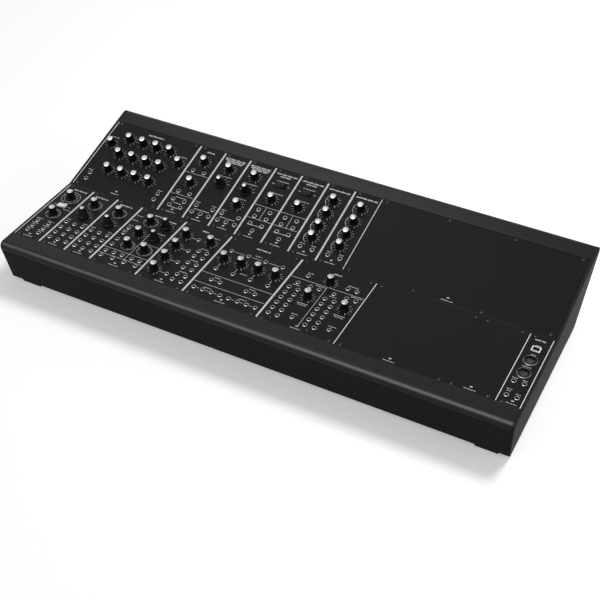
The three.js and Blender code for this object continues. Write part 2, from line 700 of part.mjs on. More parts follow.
// A knob that is one piece with its panel.
function joinedKnob([across, up]) {
  const foot = [[0, panelFloor / 2], [KNOB_RADIUS, panelFloor / 2]];
  return solidOf(turned([...foot, ...knobTop], JOINED_KNOB_SIDES).translate(across, up, 0));
}

// Rotary switch knob: skirt, shoulder, grip and a pointer bar that runs out over the skirt.
function selectorShape() {
  const skirtTop = KNOB_LIFT + SELECTOR_SKIRT;
  const body = turned([
    [0, -SHAFT_DEPTH],
    [SHAFT_RADIUS, -SHAFT_DEPTH],
    [SHAFT_RADIUS, KNOB_LIFT],
    [SELECTOR_SKIRT_RADIUS, KNOB_LIFT],
    [SELECTOR_SKIRT_RADIUS, skirtTop],
    [SELECTOR_SHOULDER_RADIUS, skirtTop + SELECTOR_SHOULDER],
    [SELECTOR_GRIP_RADIUS, SELECTOR_HEIGHT - CAP_THICKNESS],
    [SELECTOR_CAP_RADIUS, SELECTOR_HEIGHT],
    [0, SELECTOR_HEIGHT],
  ], KNOB_SIDES);
  const low = [-POINTER_WIDTH / 2, 0, KNOB_LIFT + SELECTOR_SKIRT / 2];
  const pointer = block(low, [POINTER_WIDTH / 2, POINTER_LENGTH, POINTER_HEIGHT]);
  return joined([solidOf(body), solidOf(pointer)]);
}

// Rocker, seen from its long side and run along the panel's height. It rests with its left end down.
function rockerShape() {
  const half = ROCKER_WIDTH / 2;
  const profile = [
    [-ROCKER_FOOT_WIDTH / 2, -ROCKER_DROP],
    [ROCKER_FOOT_WIDTH / 2, -ROCKER_DROP],
    [half, -ROCKER_SHOULDER],
    [half, ROCKER_RISE],
    [0, ROCKER_DIP],
    [-half, ROCKER_RISE],
    [-half, -ROCKER_SHOULDER],
  ];
  const shape = new THREE.Shape(profile.map(([across, height]) => new THREE.Vector2(across, height)));
  const bar = new THREE.ExtrudeGeometry(shape, { depth: ROCKER_DEPTH, bevelEnabled: false });
  bar.rotateX(Math.PI / 2).translate(0, ROCKER_DEPTH / 2, ROCKER_PIVOT_DEPTH);
  return solidOf(bar);
}

// The round hole that a shaft turns in, through the panel and into the potentiometer behind it.
function shaftHole([across, up]) {
  const radius = (SHAFT_RADIUS + RUN_GAP) / Math.cos(Math.PI / SHAFT_HOLE_SIDES);
  return solidOf(prism(SHAFT_HOLE_SIDES, radius, across, up, -SHAFT_DEPTH - RUN_GAP, OVERRUN));
}

// A body behind the panel, soldered to the board, round a place or over a span of places.
const bodyFloor = boardTop - BOARD_THICKNESS / 2;

function bodyBehind(columns, rows, wide, tall) {
  return solidOf(block(
    [Math.min(...columns) - wide, Math.min(...rows) - tall, bodyFloor],
    [Math.max(...columns) + wide, Math.max(...rows) + tall, panelFloor / 2],
  ));
}

const potBody = ([across, up]) => bodyBehind([across], [up], POT_WIDTH / 2, POT_WIDTH / 2);

// A block of sockets: one body behind the panel, and a nut on the panel round each bore.
function socketSolids({ columns, rows }) {
  const nuts = grid(columns, rows).map(([across, up]) =>
    solidOf(prism(SOCKET_SIDES, NUT_RADIUS, across, up, panelFloor / 2, NUT_HEIGHT)));
  return [bodyBehind(columns, rows, SOCKET_MARGIN, SOCKET_MARGIN), ...nuts];
}

function socketBores({ columns, rows }) {
  return grid(columns, rows).map(([across, up]) =>
    solidOf(prism(SOCKET_SIDES, BORE_RADIUS, across, up, -BORE_DEPTH, NUT_HEIGHT + OVERRUN)));
}

const rockerHousing = ([across, up]) => bodyBehind([across], [up], housingWidth, housingDepth);

function rockerPocket([across, up]) {
  const low = [across - pocketWidth, up - pocketDepth, pocketFloor];
  return solidOf(block(low, [across + pocketWidth, up + pocketDepth, OVERRUN]));
}

// Square port with a raised frame, and round sockets with a raised rim, both open at the panel.
function portSolid([across, up]) {
  const [wide, tall] = [PORT_WIDTH / 2 + PORT_FRAME, PORT_HEIGHT / 2 + PORT_FRAME];
  return solidOf(block([across - wide, up - tall, bodyFloor], [across + wide, up + tall, PORT_RISE]));
}

function portHole([across, up]) {
  const [wide, tall] = [PORT_WIDTH / 2, PORT_HEIGHT / 2];
  const low = [across - wide, up - tall, -CONNECTOR_DEPTH];
  return solidOf(block(low, [across + wide, up + tall, PORT_RISE + OVERRUN]));
}

const dinRim = ([across, up]) =>
  solidOf(prism(DIN_SIDES, DIN_RADIUS + DIN_RIM, across, up, panelFloor / 2, DIN_RISE));
const dinBody = ([across, up]) => bodyBehind([across], [up], DIN_RADIUS + DIN_RIM, DIN_RADIUS + DIN_RIM);
const dinHole = ([across, up]) =>
  solidOf(prism(DIN_SIDES, DIN_RADIUS, across, up, -CONNECTOR_DEPTH, DIN_RISE + OVERRUN));

// Places of a module's pieces in millimetres.
const PLACE_KINDS = ['knobs', 'joinedKnobs', 'selectors', 'rockers', 'ports', 'dins'];

function placed(spec) {
  const places = PLACE_KINDS.map((kind) => [
    kind,
    (spec[kind] ?? []).map(([across, up]) => [across * GRID_PITCH, up * PANEL_HEIGHT]),
  ]);
  const sockets = (spec.sockets ?? []).map(({ columns, rows }) => ({
    columns: columns.map((across) => across * GRID_PITCH),
    rows: rows.map((up) => up * PANEL_HEIGHT),
  }));
  return { ...Object.fromEntries(places), sockets };
}

// A module: front panel with everything that is fixed to it, as one solid.
function moduleSolid(width, { knobs, joinedKnobs, selectors, rockers, ports, dins, sockets }) {
  const half = (width - PANEL_PLAY) / 2;
  const panel = solidOf(block([-half, 0, panelFloor], [half, PANEL_HEIGHT, 0]));
  if (!sockets.length) return panel;
  const side = half - BOARD_SIDE_INSET;
  const boardEnd = PANEL_HEIGHT - BOARD_END_INSET;
  const board = block([-side, BOARD_END_INSET, boardFloor], [side, boardEnd, boardTop]);
  const fixed = [
    panel,
    solidOf(board),
    ...[...knobs, ...selectors, ...joinedKnobs].map(potBody),
    ...sockets.flatMap(socketSolids),
    ...rockers.map(rockerHousing),
    ...ports.map(portSolid),
    ...dins.flatMap((place) => [dinRim(place), dinBody(place)]),
    ...joinedKnobs.map(joinedKnob),
  ];
  const holes = [
    ...[...knobs, ...selectors].map(shaftHole),
    ...sockets.flatMap(socketBores),
    ...rockers.map(rockerPocket),
    ...ports.map(portHole),
    ...dins.map(dinHole),
  ];
  return cut(joined(fixed), holes);
}

const numbered = (name, places) => places.map((_, i) => (places.length > 1 ? `${name}_${i + 1}` : name));

// A rocker in its housing, tilted about its pivot below the panel.
function rockerPiece(name, [across, up], material) {
  const mesh = pieceOf(name, rockerShape(), material);
  mesh.position.set(across, up, -ROCKER_PIVOT_DEPTH);
  mesh.rotation.y = -ROCKER_THROW;
  return mesh;
}

function addModule(row, spec, start, width) {
  const { name } = spec;
  const places = placed(spec);
  const group = new THREE.Group();
  group.position.x = start + width / 2;
  const kind = spec.sockets ? 'module' : 'panel';
  group.add(pieceOf(`${name}_${kind}`, moduleSolid(width, places), PANEL_FINISH));
  const turning = [
    ...numbered(`${name}_knob`, places.knobs).map((label, i) => [label, knobShape(), places.knobs[i]]),
    ...numbered(`${name}_selector`, places.selectors).map((label, i) =>
      [label, selectorShape(), places.selectors[i]]),
  ];
  turning.forEach(([label, solid, [across, up]]) => {
    const knob = pieceOf(label, solid, KNOB_FINISH);
    knob.position.set(across, up, 0);
    group.add(knob);
  });
  const rockerFinish = spec.whiteRocker ? WHITE_ROCKER_FINISH : BLACK_ROCKER_FINISH;
  places.rockers.forEach((place) => group.add(rockerPiece(`${name}_rocker`, place, rockerFinish)));
  row.add(group);
}

// A row of modules side by side. One blank panel takes the units that the others leave.
function moduleRow(modules) {
  const row = new THREE.Group();
  const taken = modules.reduce((sum, { units = 0 }) => sum + units, 0);
  modules.reduce((start, spec) => {
    const width = (spec.fillsRow ? ROW_UNITS - taken : spec.units) * GRID_PITCH;
    addModule(row, spec, start, width);
    return start + width;
  }, -rowWidth / 2);
  return row;
}

// Power entry: a plate on the back wall with the inlet and the switch's housing behind it.
const [inletSide, switchSide] = [-ENTRY_SPREAD / 2, ENTRY_SPREAD / 2];

function entryPlate() {
  const behind = -ENTRY_THICKNESS / 2;
  const depth = WALL - ENTRY_BODY_DEPTH;
  const [wide, tall] = entryPlateHalf;
  const [bodyWide, bodyTall] = entryBody;
  const plate = block([-wide, -tall, -ENTRY_THICKNESS], [wide, tall, 0]);
  const body = block([-bodyWide, -bodyTall, -ENTRY_BODY_DEPTH], [bodyWide, bodyTall, behind]);
  const ring = prism(INLET_SIDES, INLET_RADIUS, inletSide, 0, behind, INLET_RISE);
  const hole = prism(INLET_SIDES, INLET_HOLE_RADIUS, inletSide, 0, depth, INLET_RISE + OVERRUN);
  const pin = prism(SOCKET_SIDES, INLET_PIN_RADIUS, inletSide, 0, depth - WALL / 2, 0);
  const closed = joined([plate, body, ring].map(solidOf));
  return joined([cut(closed, [solidOf(hole), rockerPocket([switchSide, 0])]), solidOf(pin)]);
}

// A circuit board on four standoffs, with the components that stand on it.
function floorBoard(length, depth, components) {
  const [half, deep] = [length / 2, depth / 2];
  const board = block([-half, -deep, STANDOFF_HEIGHT], [half, deep, STANDOFF_HEIGHT + BOARD_THICKNESS]);
  const standoffs = [-half + STANDOFF_INSET, half - STANDOFF_INSET - STANDOFF_WIDTH].flatMap((x) =>
    [-deep + STANDOFF_INSET, deep - STANDOFF_INSET - STANDOFF_WIDTH].map((y) =>
      block([x, y, 0], [x + STANDOFF_WIDTH, y + STANDOFF_WIDTH, STANDOFF_HEIGHT + BOARD_THICKNESS / 2])));
  return joined([board, ...standoffs, ...components].map(solidOf));
}

const componentFloor = STANDOFF_HEIGHT + BOARD_THICKNESS / 2;

const busLength = rowWidth - 2 * BUS_END_INSET;

function busBoard() {
  const count = Math.floor((busLength - 2 * HEADER_END_INSET - HEADER_WIDTH) / HEADER_PITCH) + 1;
  const headers = spread(count, HEADER_PITCH).map((x) => block(
    [x - HEADER_WIDTH / 2, -HEADER_DEPTH / 2, componentFloor],
    [x + HEADER_WIDTH / 2, HEADER_DEPTH / 2, STANDOFF_HEIGHT + BOARD_THICKNESS + HEADER_HEIGHT],
  ));
  return floorBoard(busLength, BUS_DEPTH, headers);
}

function powerBoard() {
  const top = STANDOFF_HEIGHT + BOARD_THICKNESS;
  const capacitors = spread(CAPACITOR_COUNT, CAPACITOR_PITCH, POWER_LENGTH / 4).map((x) =>
    prism(CAPACITOR_SIDES, CAPACITOR_RADIUS, x, 0, componentFloor, top + CAPACITOR_HEIGHT));
  const converter = block(
    [-POWER_LENGTH / 4 - CONVERTER_SIZE / 2, -CONVERTER_SIZE / 2, componentFloor],
    [-POWER_LENGTH / 4 + CONVERTER_SIZE / 2, CONVERTER_SIZE / 2, top + CONVERTER_HEIGHT],
  );
  return floorBoard(POWER_LENGTH, POWER_DEPTH, [...capacitors, converter]);
}

// Assembly
const synthesizer = new THREE.Group();

const cheek = endCheek();
function cheekPiece(name, geometry, side) {
  const mesh = new THREE.Mesh(geometry, CHEEK_FINISH);
  mesh.name = name;
  mesh.position.x = side * (rowWidth / 2 + SEAT_GAP);
  return mesh;
}
synthesizer.add(
  pieceOf('floor_pan', floorPan(), CASE_FINISH),
  pieceOf('front_rail', frontRail(), RAIL_FINISH),
  pieceOf('middle_rail', middleRail(), RAIL_FINISH),
  pieceOf('rear_rail', rearRail(), RAIL_FINISH),
  cheekPiece('right_cheek', cheek, 1),
  cheekPiece('left_cheek', mirrored(cheek), -1),
);

const innerFloor = FOOT_HEIGHT + WALL + SEAT_GAP;
const bus = pieceOf('bus_board', busBoard(), BOARD_FINISH);
bus.position.set(0, -BUS_PLACE, innerFloor);
const power = pieceOf('power_board', powerBoard(), BOARD_FINISH);
const powerPlace = floorRear[0] - POWER_REAR_INSET - POWER_DEPTH / 2;
power.position.set((rowWidth - POWER_LENGTH) / 2 - POWER_END_INSET, powerPlace, innerFloor);
synthesizer.add(bus, power);

const entry = new THREE.Group();
entry.position.copy(entryPlace.position);
entry.rotation.copy(entryPlace.rotation);
const entryFace = new THREE.Group();
entryFace.position.z = SEAT_GAP + ENTRY_THICKNESS;
entryFace.add(
  pieceOf('power_entry', entryPlate(), BLACK_ROCKER_FINISH),
  rockerPiece('power_rocker', [switchSide, 0], BLACK_ROCKER_FINISH),
);
entry.add(entryFace);
synthesizer.add(entry);

const levelRow = moduleRow(LEVEL_ROW);
levelRow.position.set(0, -rowEnd, rowTop);
const tiltedRow = moduleRow(TILTED_ROW);
const [tiltedStartY, tiltedStartZ] = tiltedPoint(BEND_CLEARANCE, 0);
tiltedRow.position.set(0, tiltedStartY, tiltedStartZ);
tiltedRow.rotation.x = ROW_TILT;
synthesizer.add(levelRow, tiltedRow);

// The origin moves from under the bend to under the middle of the case's depth.
cheek.computeBoundingBox();
synthesizer.position.y = -(cheek.boundingBox.min.y + cheek.boundingBox.max.y) / 2;

const root = new THREE.Group();
root.add(synthesizer);

export default root;
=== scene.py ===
import math

import bmesh
import bpy
from mathutils import Matrix, Vector


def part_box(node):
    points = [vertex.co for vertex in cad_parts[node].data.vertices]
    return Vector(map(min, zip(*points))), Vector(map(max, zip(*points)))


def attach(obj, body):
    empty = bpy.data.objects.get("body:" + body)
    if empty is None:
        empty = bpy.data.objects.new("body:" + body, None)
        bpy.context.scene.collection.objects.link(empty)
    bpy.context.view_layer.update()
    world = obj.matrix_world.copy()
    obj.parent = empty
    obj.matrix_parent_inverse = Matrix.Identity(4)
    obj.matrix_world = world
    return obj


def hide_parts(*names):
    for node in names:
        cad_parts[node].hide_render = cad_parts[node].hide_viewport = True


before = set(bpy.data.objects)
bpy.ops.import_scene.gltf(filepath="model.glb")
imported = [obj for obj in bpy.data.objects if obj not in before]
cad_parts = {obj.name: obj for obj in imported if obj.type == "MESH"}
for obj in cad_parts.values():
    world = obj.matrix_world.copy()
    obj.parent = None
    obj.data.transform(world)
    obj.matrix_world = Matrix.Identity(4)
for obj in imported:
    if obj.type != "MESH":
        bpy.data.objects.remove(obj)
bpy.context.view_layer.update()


# Case pan
# One steel sheet, bent up in front and behind and powder coated in matt black, so that it shows a fine
# orange peel and no shine. Its back wall has the opening that the power entry is screwed over.
MM = 0.001
ROW_WIDTH = 711.2
PANEL_HEIGHT = 128.5
BEND_GAP = 1.7  # from the bend between the rows to the edge of each row's panels
ROW_TILT = math.radians(15)
FRONT_LEAN = math.radians(10.7)
REAR_LEAN = math.radians(27)
FRONT_BAND = 28.2  # from the level row's panels to the front corner
REAR_BAND = 37.7
FOOT_HEIGHT = 3.5
FLOOR_ROUND = 4
WALL = 2
SEAT_GAP = 0.3
FRONT_LIP_END = 58.53  # height at which the front rail's cover ends
REAR_LIP_END = 83.48
ENTRY_HALF = (20.0, 8.0)  # of the opening for the power entry
ENTRY_CLIMB = 42  # from the floor up the rear wall to the opening
BEND_STEPS = 10
CLEAR = 0.02  # keeps the faces of two pieces out of one plane
WELD = 0.001  # corners nearer than this are one
DRIFT = 70  # grain of the slow change in a finish's shade
ROUGHNESS_SPREAD = 0.08  # either way from a finish's roughness
RELIEF = 0.35  # strength of a finish's grain
SHARP_EDGE = 40  # from this angle on an edge is broken

level_low, level_high = (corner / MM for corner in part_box("lower_wide_blank_panel"))
row_end = BEND_GAP + PANEL_HEIGHT
row_top = level_high.z
bend_y = level_low.y + row_end


def level(s, h):
    """A point of the case's section, s from the bend along the level row and h above it."""
    return Vector((bend_y + s, row_top + h))


def tilted(s, h):
    """The same along the tilted row."""
    return Vector((
        bend_y + s * math.cos(ROW_TILT) - h * math.sin(ROW_TILT),
        row_top + s * math.sin(ROW_TILT) + h * math.cos(ROW_TILT),
    ))


front_corner = level(-row_end - FRONT_BAND, 0)
rear_corner = tilted(row_end + REAR_BAND, 0)


def front_wall(z):
    return Vector((front_corner.x + (front_corner.y - z) * math.tan(FRONT_LEAN), z))


def rear_wall(z):
    return Vector((rear_corner.x - (rear_corner.y - z) * math.tan(REAR_LEAN), z))


floor_front = front_wall(FOOT_HEIGHT)
floor_rear = rear_wall(FOOT_HEIGHT)


def draw_section(bm, path, rounds):
    """Draws a path of (y, z) points as edges at x = 0, with each inner corner spun round to its radius."""
    last = bm.verts.new((0, *path[0]))
    for before, corner, after, radius in zip(path, path[1:], path[2:], rounds):
        back, on = (before - corner).normalized(), (after - corner).normalized()
        half = back.angle(on) / 2
        middle = corner + (back + on).normalized() * radius / math.sin(half)
        first = bm.verts.new((0, *(corner + back * radius / math.tan(half))))
        bm.edges.new((last, first))
        turn = math.copysign(math.pi - 2 * half, -back.cross(on))
        spun = bmesh.ops.spin(
            bm, geom=[first], cent=(0, *middle), axis=(1, 0, 0), angle=turn, steps=BEND_STEPS
        )
        last = next(v for v in spun["geom_last"] if isinstance(v, bmesh.types.BMVert))
    bm.edges.new((last, bm.verts.new((0, *path[-1]))))


def verts_of(result):
    return [v for v in result["geom"] if isinstance(v, bmesh.types.BMVert)]


def bent_sheet(path, rounds, length):
    """The outer skin of a sheet that is bent to a section path."""
    bm = bmesh.new()
    draw_section(bm, path, rounds)
    bmesh.ops.translate(bm, verts=bm.verts[:], vec=(-length / 2, 0, 0))
    run = bmesh.ops.extrude_edge_only(bm, edges=bm.edges[:])
    bmesh.ops.translate(bm, verts=verts_of(run), vec=(length, 0, 0))
    bmesh.ops.remove_doubles(bm, verts=bm.verts[:], dist=WELD)
    bmesh.ops.recalc_face_normals(bm, faces=bm.faces[:])
    middle = sum((v.co for v in bm.verts), Vector()) / len(bm.verts)
    outward = sum((f.calc_center_median() - middle).dot(f.normal) * f.calc_area() for f in bm.faces)
    if outward < 0:
        bmesh.ops.reverse_faces(bm, faces=bm.faces[:])
    return bm


def add_wall(bm, wall):
    bmesh.ops.solidify(bm, geom=bm.faces[:], thickness=wall)
    bmesh.ops.recalc_face_normals(bm, faces=bm.faces[:])


def round_off(bm, edges, width, segments, clamp=False):
    bmesh.ops.bevel(
        bm, geom=edges, offset=width, segments=segments, profile=0.5, affect="EDGES", material=-1,
        clamp_overlap=clamp,
    )


def soften(bm, width, segments=2):
    """Breaks the sharp edges, as a tumbled, moulded or coated piece has them."""
    sharp = [e for e in bm.edges if e.is_manifold and e.calc_face_angle() > math.radians(SHARP_EDGE)]
    round_off(bm, sharp, width, segments, clamp=True)


def piece(name, bm, materials, body="case", stands_for=(), sharp=35):
    """Makes a mesh that was drawn in millimetres a piece of the scene that rides on its body."""
    bmesh.ops.scale(bm, vec=(MM, MM, MM), verts=bm.verts[:])
    for face in bm.faces:
        face.smooth = True
    for edge in bm.edges:
        edge.smooth = not edge.is_manifold or edge.calc_face_angle() < math.radians(sharp)
    mesh = bpy.data.meshes.new(name)
    bm.to_mesh(mesh)
    bm.free()
    for material in materials:
        mesh.materials.append(material)
    made = bpy.data.objects.new(name, mesh)
    bpy.context.scene.collection.objects.link(made)
    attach(made, body)
    if stands_for:
        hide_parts(*stands_for)
    return made


def linear(value):
    """An sRGB hex colour as the linear values that a shader takes."""
    parts = [int(value[i:i + 2], 16) / 255 for i in (1, 3, 5)]
    return (*(c / 12.92 if c <= 0.04045 else ((c + 0.055) / 1.055) ** 2.4 for c in parts), 1)


def add(tree, kind, inputs=None, **settings):
    """Adds a node with its settings; an input is given a value, or a socket that it is linked to."""
    node = tree.nodes.new(kind)
    for name, value in settings.items():
        setattr(node, name, value)
    for name, value in (inputs or {}).items():
        if isinstance(value, bpy.types.NodeSocket):
            tree.links.new(value, node.inputs[name])
        else:
            node.inputs[name].default_value = value
    return node


def new_material(name):
    material = bpy.data.materials.new(name)
    material.use_nodes = True
    material.node_tree.nodes.clear()
    return material, material.node_tree


def grained(name, dark, light, roughness, grain, depth, stretch=(1, 1, 1), metallic=0.0, specular=0.3):
    """A finish with a fine relief of the given grain in mm and a slow drift between two close colours."""
    material, tree = new_material(name)
    place = add(tree, "ShaderNodeTexCoord").outputs["Object"]
    laid = add(tree, "ShaderNodeMapping", {"Vector": place, "Scale": stretch}).outputs["Vector"]
    peel = add(tree, "ShaderNodeTexNoise", {"Vector": laid, "Scale": 1 / (grain * MM), "Detail": 3.0})
    drift = add(tree, "ShaderNodeTexNoise", {"Vector": place, "Scale": 1 / (DRIFT * MM), "Detail": 2.0})
    both = add(tree, "ShaderNodeMix", {0: 0.5, 2: peel.outputs["Fac"], 3: drift.outputs["Fac"]})
    tint = add(tree, "ShaderNodeMix", {
        0: both.outputs[0], 6: linear(dark), 7: linear(light),
    }, data_type="RGBA")
    rough = add(tree, "ShaderNodeMapRange", {
        "Value": peel.outputs["Fac"], "To Min": roughness - ROUGHNESS_SPREAD,
        "To Max": roughness + ROUGHNESS_SPREAD,
    })
    relief = add(tree, "ShaderNodeBump", {
        "Height": peel.outputs["Fac"], "Strength": RELIEF, "Distance": depth * MM,
    })
    shader = add(tree, "ShaderNodeBsdfPrincipled", {
        "Base Color": tint.outputs[2], "Roughness": rough.outputs[0], "Normal": relief.outputs[0],
        "Metallic": metallic, "Specular IOR Level": specular,
    })
    add(tree, "ShaderNodeOutputMaterial", {"Surface": shader.outputs[0]})
    return material


# The orange peel of the coat is about 0.3 mm across; it is drawn 1.1 mm so that it shows from a step away.
powder_coat = grained("matt_powder_coat_on_steel", "#242426", "#2d2d2e", 0.55, 1.1, 0.05, specular=0.06)

pan = bent_sheet(
    [front_wall(FRONT_LIP_END - SEAT_GAP), floor_front, floor_rear, rear_wall(REAR_LIP_END - SEAT_GAP)],
    [FLOOR_ROUND, FLOOR_ROUND], ROW_WIDTH,
)
entry_low, entry_high = (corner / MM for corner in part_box("power_entry"))
entry_x = (entry_low.x + entry_high.x) / 2
entry_z = FOOT_HEIGHT + ENTRY_CLIMB * math.cos(REAR_LEAN)
entry_place = (
    Matrix.Translation((entry_x, *rear_wall(entry_z))) @ Matrix.Rotation(-math.pi / 2 - REAR_LEAN, 4, "X")
)
for axis, half in enumerate(ENTRY_HALF):
    for side in (-1, 1):
        wall_faces = [f for f in pan.faces if f.normal.y > 0.7]
        corner = Vector((0, 0, 0))
        corner[axis] = side * half
        normal = Vector((0, 0, 0))
        normal[axis] = 1
        around = {e for f in wall_faces for e in f.edges} | {v for f in wall_faces for v in f.verts}
        bmesh.ops.bisect_plane(
            pan, geom=[*wall_faces, *around], dist=WELD,
            plane_co=entry_place @ corner, plane_no=entry_place.to_3x3() @ normal,
        )
opening = [f for f in pan.faces if (f.calc_center_median() - entry_place.translation).length < 1]
bmesh.ops.delete(pan, geom=opening, context="FACES")
add_wall(pan, WALL)
piece("case_pan", pan, [powder_coat], stands_for=["floor_pan"])


# Feet
# Four moulded rubber blocks, glued under the pan's corners. The rubber is matt and slightly worn grey, and
# its edges are rounded by the mould.
FOOT_SIZE = (30, 13, FOOT_HEIGHT)
FOOT_X = 328.0
FOOT_INSET = 2

rubber = grained("moulded_rubber", "#141414", "#1f1f1e", 0.75, 0.8, 0.05, specular=0.2)


def block(bm, low, high):
    """Adds a block between two corners and returns its corners."""
    low, high = Vector(low), Vector(high)
    size = Matrix.Diagonal((*(high - low), 1))
    return bmesh.ops.create_cube(bm, size=1, matrix=Matrix.Translation((low + high) / 2) @ size)["verts"]


feet = bmesh.new()
for x in (-FOOT_X, FOOT_X):
    for y in (floor_front.x + FOOT_INSET, floor_rear.x - FOOT_INSET - FOOT_SIZE[1]):
        far = (x + FOOT_SIZE[0] / 2, y + FOOT_SIZE[1], FOOT_HEIGHT + CLEAR)
        block(feet, (x - FOOT_SIZE[0] / 2, y, 0), far)
soften(feet, 0.9, 3)
piece("rubber_feet", feet, [rubber])


# Rails
# Front and rear covers are bent aluminium, satin black anodised, rounded over the case's edges. Under them
# run drawn bars with the seats that the panels are screwed to; the middle one is bent along the fold.
FRONT_ROUND = 7.5
REAR_ROUND = 8
COVER_GAP = 0.5  # between a panel's end and the cover
SEAT_DEPTH = 6
BAR_HEIGHT = 8
COVER_LAP = 8
SEAT = -2 - SEAT_GAP

satin_anodised = grained(
    "satin_black_anodised_aluminium", "#19191a", "#222223", 0.3, 0.9, 0.01, stretch=(0.12, 1, 1),
    specular=0.28
)
raw_bar = grained(
    "drawn_aluminium_black_anodised", "#19191a", "#222223", 0.5, 0.7, 0.03, stretch=(0.03, 1, 1),
    specular=0.15
)


def raised(bm, faces, way):
    """Extrudes faces to a closed solid, and returns the corners that moved."""
    moved = verts_of(bmesh.ops.extrude_face_region(bm, geom=faces))
    bmesh.ops.translate(bm, verts=moved, vec=way)
    bmesh.ops.recalc_face_normals(bm, faces=bm.faces[:])
    return moved


def along_case(points, length):
    """A closed outline of (y, z) points run along the case."""
    bm = bmesh.new()
    end = bm.faces.new([bm.verts.new((-length / 2, *point)) for point in points])
    raised(bm, [end], (length, 0, 0))
    return bm


def dress(name, material):
    """Gives a node that keeps its CAD shape its finish."""
    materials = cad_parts[name].data.materials
    materials.clear()
    materials.append(material)


cover_end = row_end + COVER_GAP
front_cover = bent_sheet(
    [level(-cover_end, 0), front_corner, front_wall(FRONT_LIP_END)], [FRONT_ROUND], ROW_WIDTH
)
add_wall(front_cover, WALL)
piece("front_cover", front_cover, [satin_anodised], stands_for=["front_rail"])
rear_cover = bent_sheet(
    [rear_wall(REAR_LIP_END), rear_corner, tilted(cover_end, 0)], [REAR_ROUND], ROW_WIDTH
)
add_wall(rear_cover, WALL)
piece("rear_cover", rear_cover, [satin_anodised], stands_for=["rear_rail"])

for name, along, side in (("front_bar", level, -1), ("rear_bar", tilted, 1)):
    bar = along_case([
        along(side * (cover_end + COVER_LAP), SEAT - BAR_HEIGHT),
        along(side * (row_end - SEAT_DEPTH), SEAT - BAR_HEIGHT),
        along(side * (row_end - SEAT_DEPTH), SEAT),
        along(side * cover_end, SEAT),
        along(side * cover_end, -WALL - 0.05),
        along(side * (cover_end + COVER_LAP), -WALL - 0.05),
    ], ROW_WIDTH)
    soften(bar, 0.4)
    piece(name, bar, [raw_bar])
dress("middle_rail", raw_bar)

STRIP_SINK = 0.3  # of the strip that closes the joint at the bend, below the panels' faces
STRIP_HALF = 1.4
strip = along_case([
    level(-STRIP_HALF, -STRIP_SINK), level(0.04, -STRIP_SINK), tilted(STRIP_HALF, -STRIP_SINK),
    tilted(STRIP_HALF, SEAT + CLEAR), level(0.3, SEAT + CLEAR), level(-STRIP_HALF, SEAT + CLEAR),
], ROW_WIDTH)
piece("bend_strip", strip, [raw_bar])


# Cheeks
# End plates of moulded ABS with the whole section's outline, rounded over outside and drawn in a little
# towards the floor. The moulding's skin is finely textured and a shade lighter than the coated metal.
CHEEK_THICKNESS = 5.1
CHEEK_DRAW = 3.8
CHEEK_ROUND = 1.2
CHEEK_INNER_ROUND = 0.4

moulded_abs = grained("textured_black_abs", "#232325", "#2d2d2e", 0.48, 0.8, 0.05, specular=0.1)
outline = [level(0, 0), front_corner, floor_front, floor_rear, rear_corner, level(0, 0)]

for side, name in ((1, "right_cheek"), (-1, "left_cheek")):
    cheek = bmesh.new()
    draw_section(cheek, outline, [FRONT_ROUND, FLOOR_ROUND, FLOOR_ROUND, REAR_ROUND])
    bmesh.ops.remove_doubles(cheek, verts=cheek.verts[:], dist=WELD)
    bmesh.ops.contextual_create(cheek, geom=cheek.edges[:])
    outside = set(raised(cheek, cheek.faces[:], (CHEEK_THICKNESS, 0, 0)))
    rim = [e for e in cheek.edges if e.verts[0] in outside and e.verts[1] in outside]
    round_off(cheek, rim, CHEEK_ROUND, 4)
    inner_rim = [
        e for e in cheek.edges
        if max(abs(v.co.x) for v in e.verts) < WELD and e.calc_face_angle(0) > math.radians(SHARP_EDGE)
    ]
    round_off(cheek, inner_rim, CHEEK_INNER_ROUND, 2)
    rise = rear_corner.y - FOOT_HEIGHT
    for vert in cheek.verts:
        share = (rear_corner.y - vert.co.z) / rise
        across = vert.co.x * (1 - CHEEK_DRAW / CHEEK_THICKNESS * share)
        vert.co.x = side * (ROW_WIDTH / 2 + SEAT_GAP + across)
    if side < 0:
        bmesh.ops.reverse_faces(cheek, faces=cheek.faces[:])
    piece(f"{name}_plate", cheek, [moulded_abs], stands_for=[name], sharp=25)


# Boards on the floor
# Fibreglass boards with a green solder mask stand inside on posts: one with the headers that feed the
# modules, one with the supply. They keep the CAD's shape, and the mask ends where the black parts start.
BOARD_LOW = 10.8  # underside of both boards above the table
BOARD_HIGH = 12.5


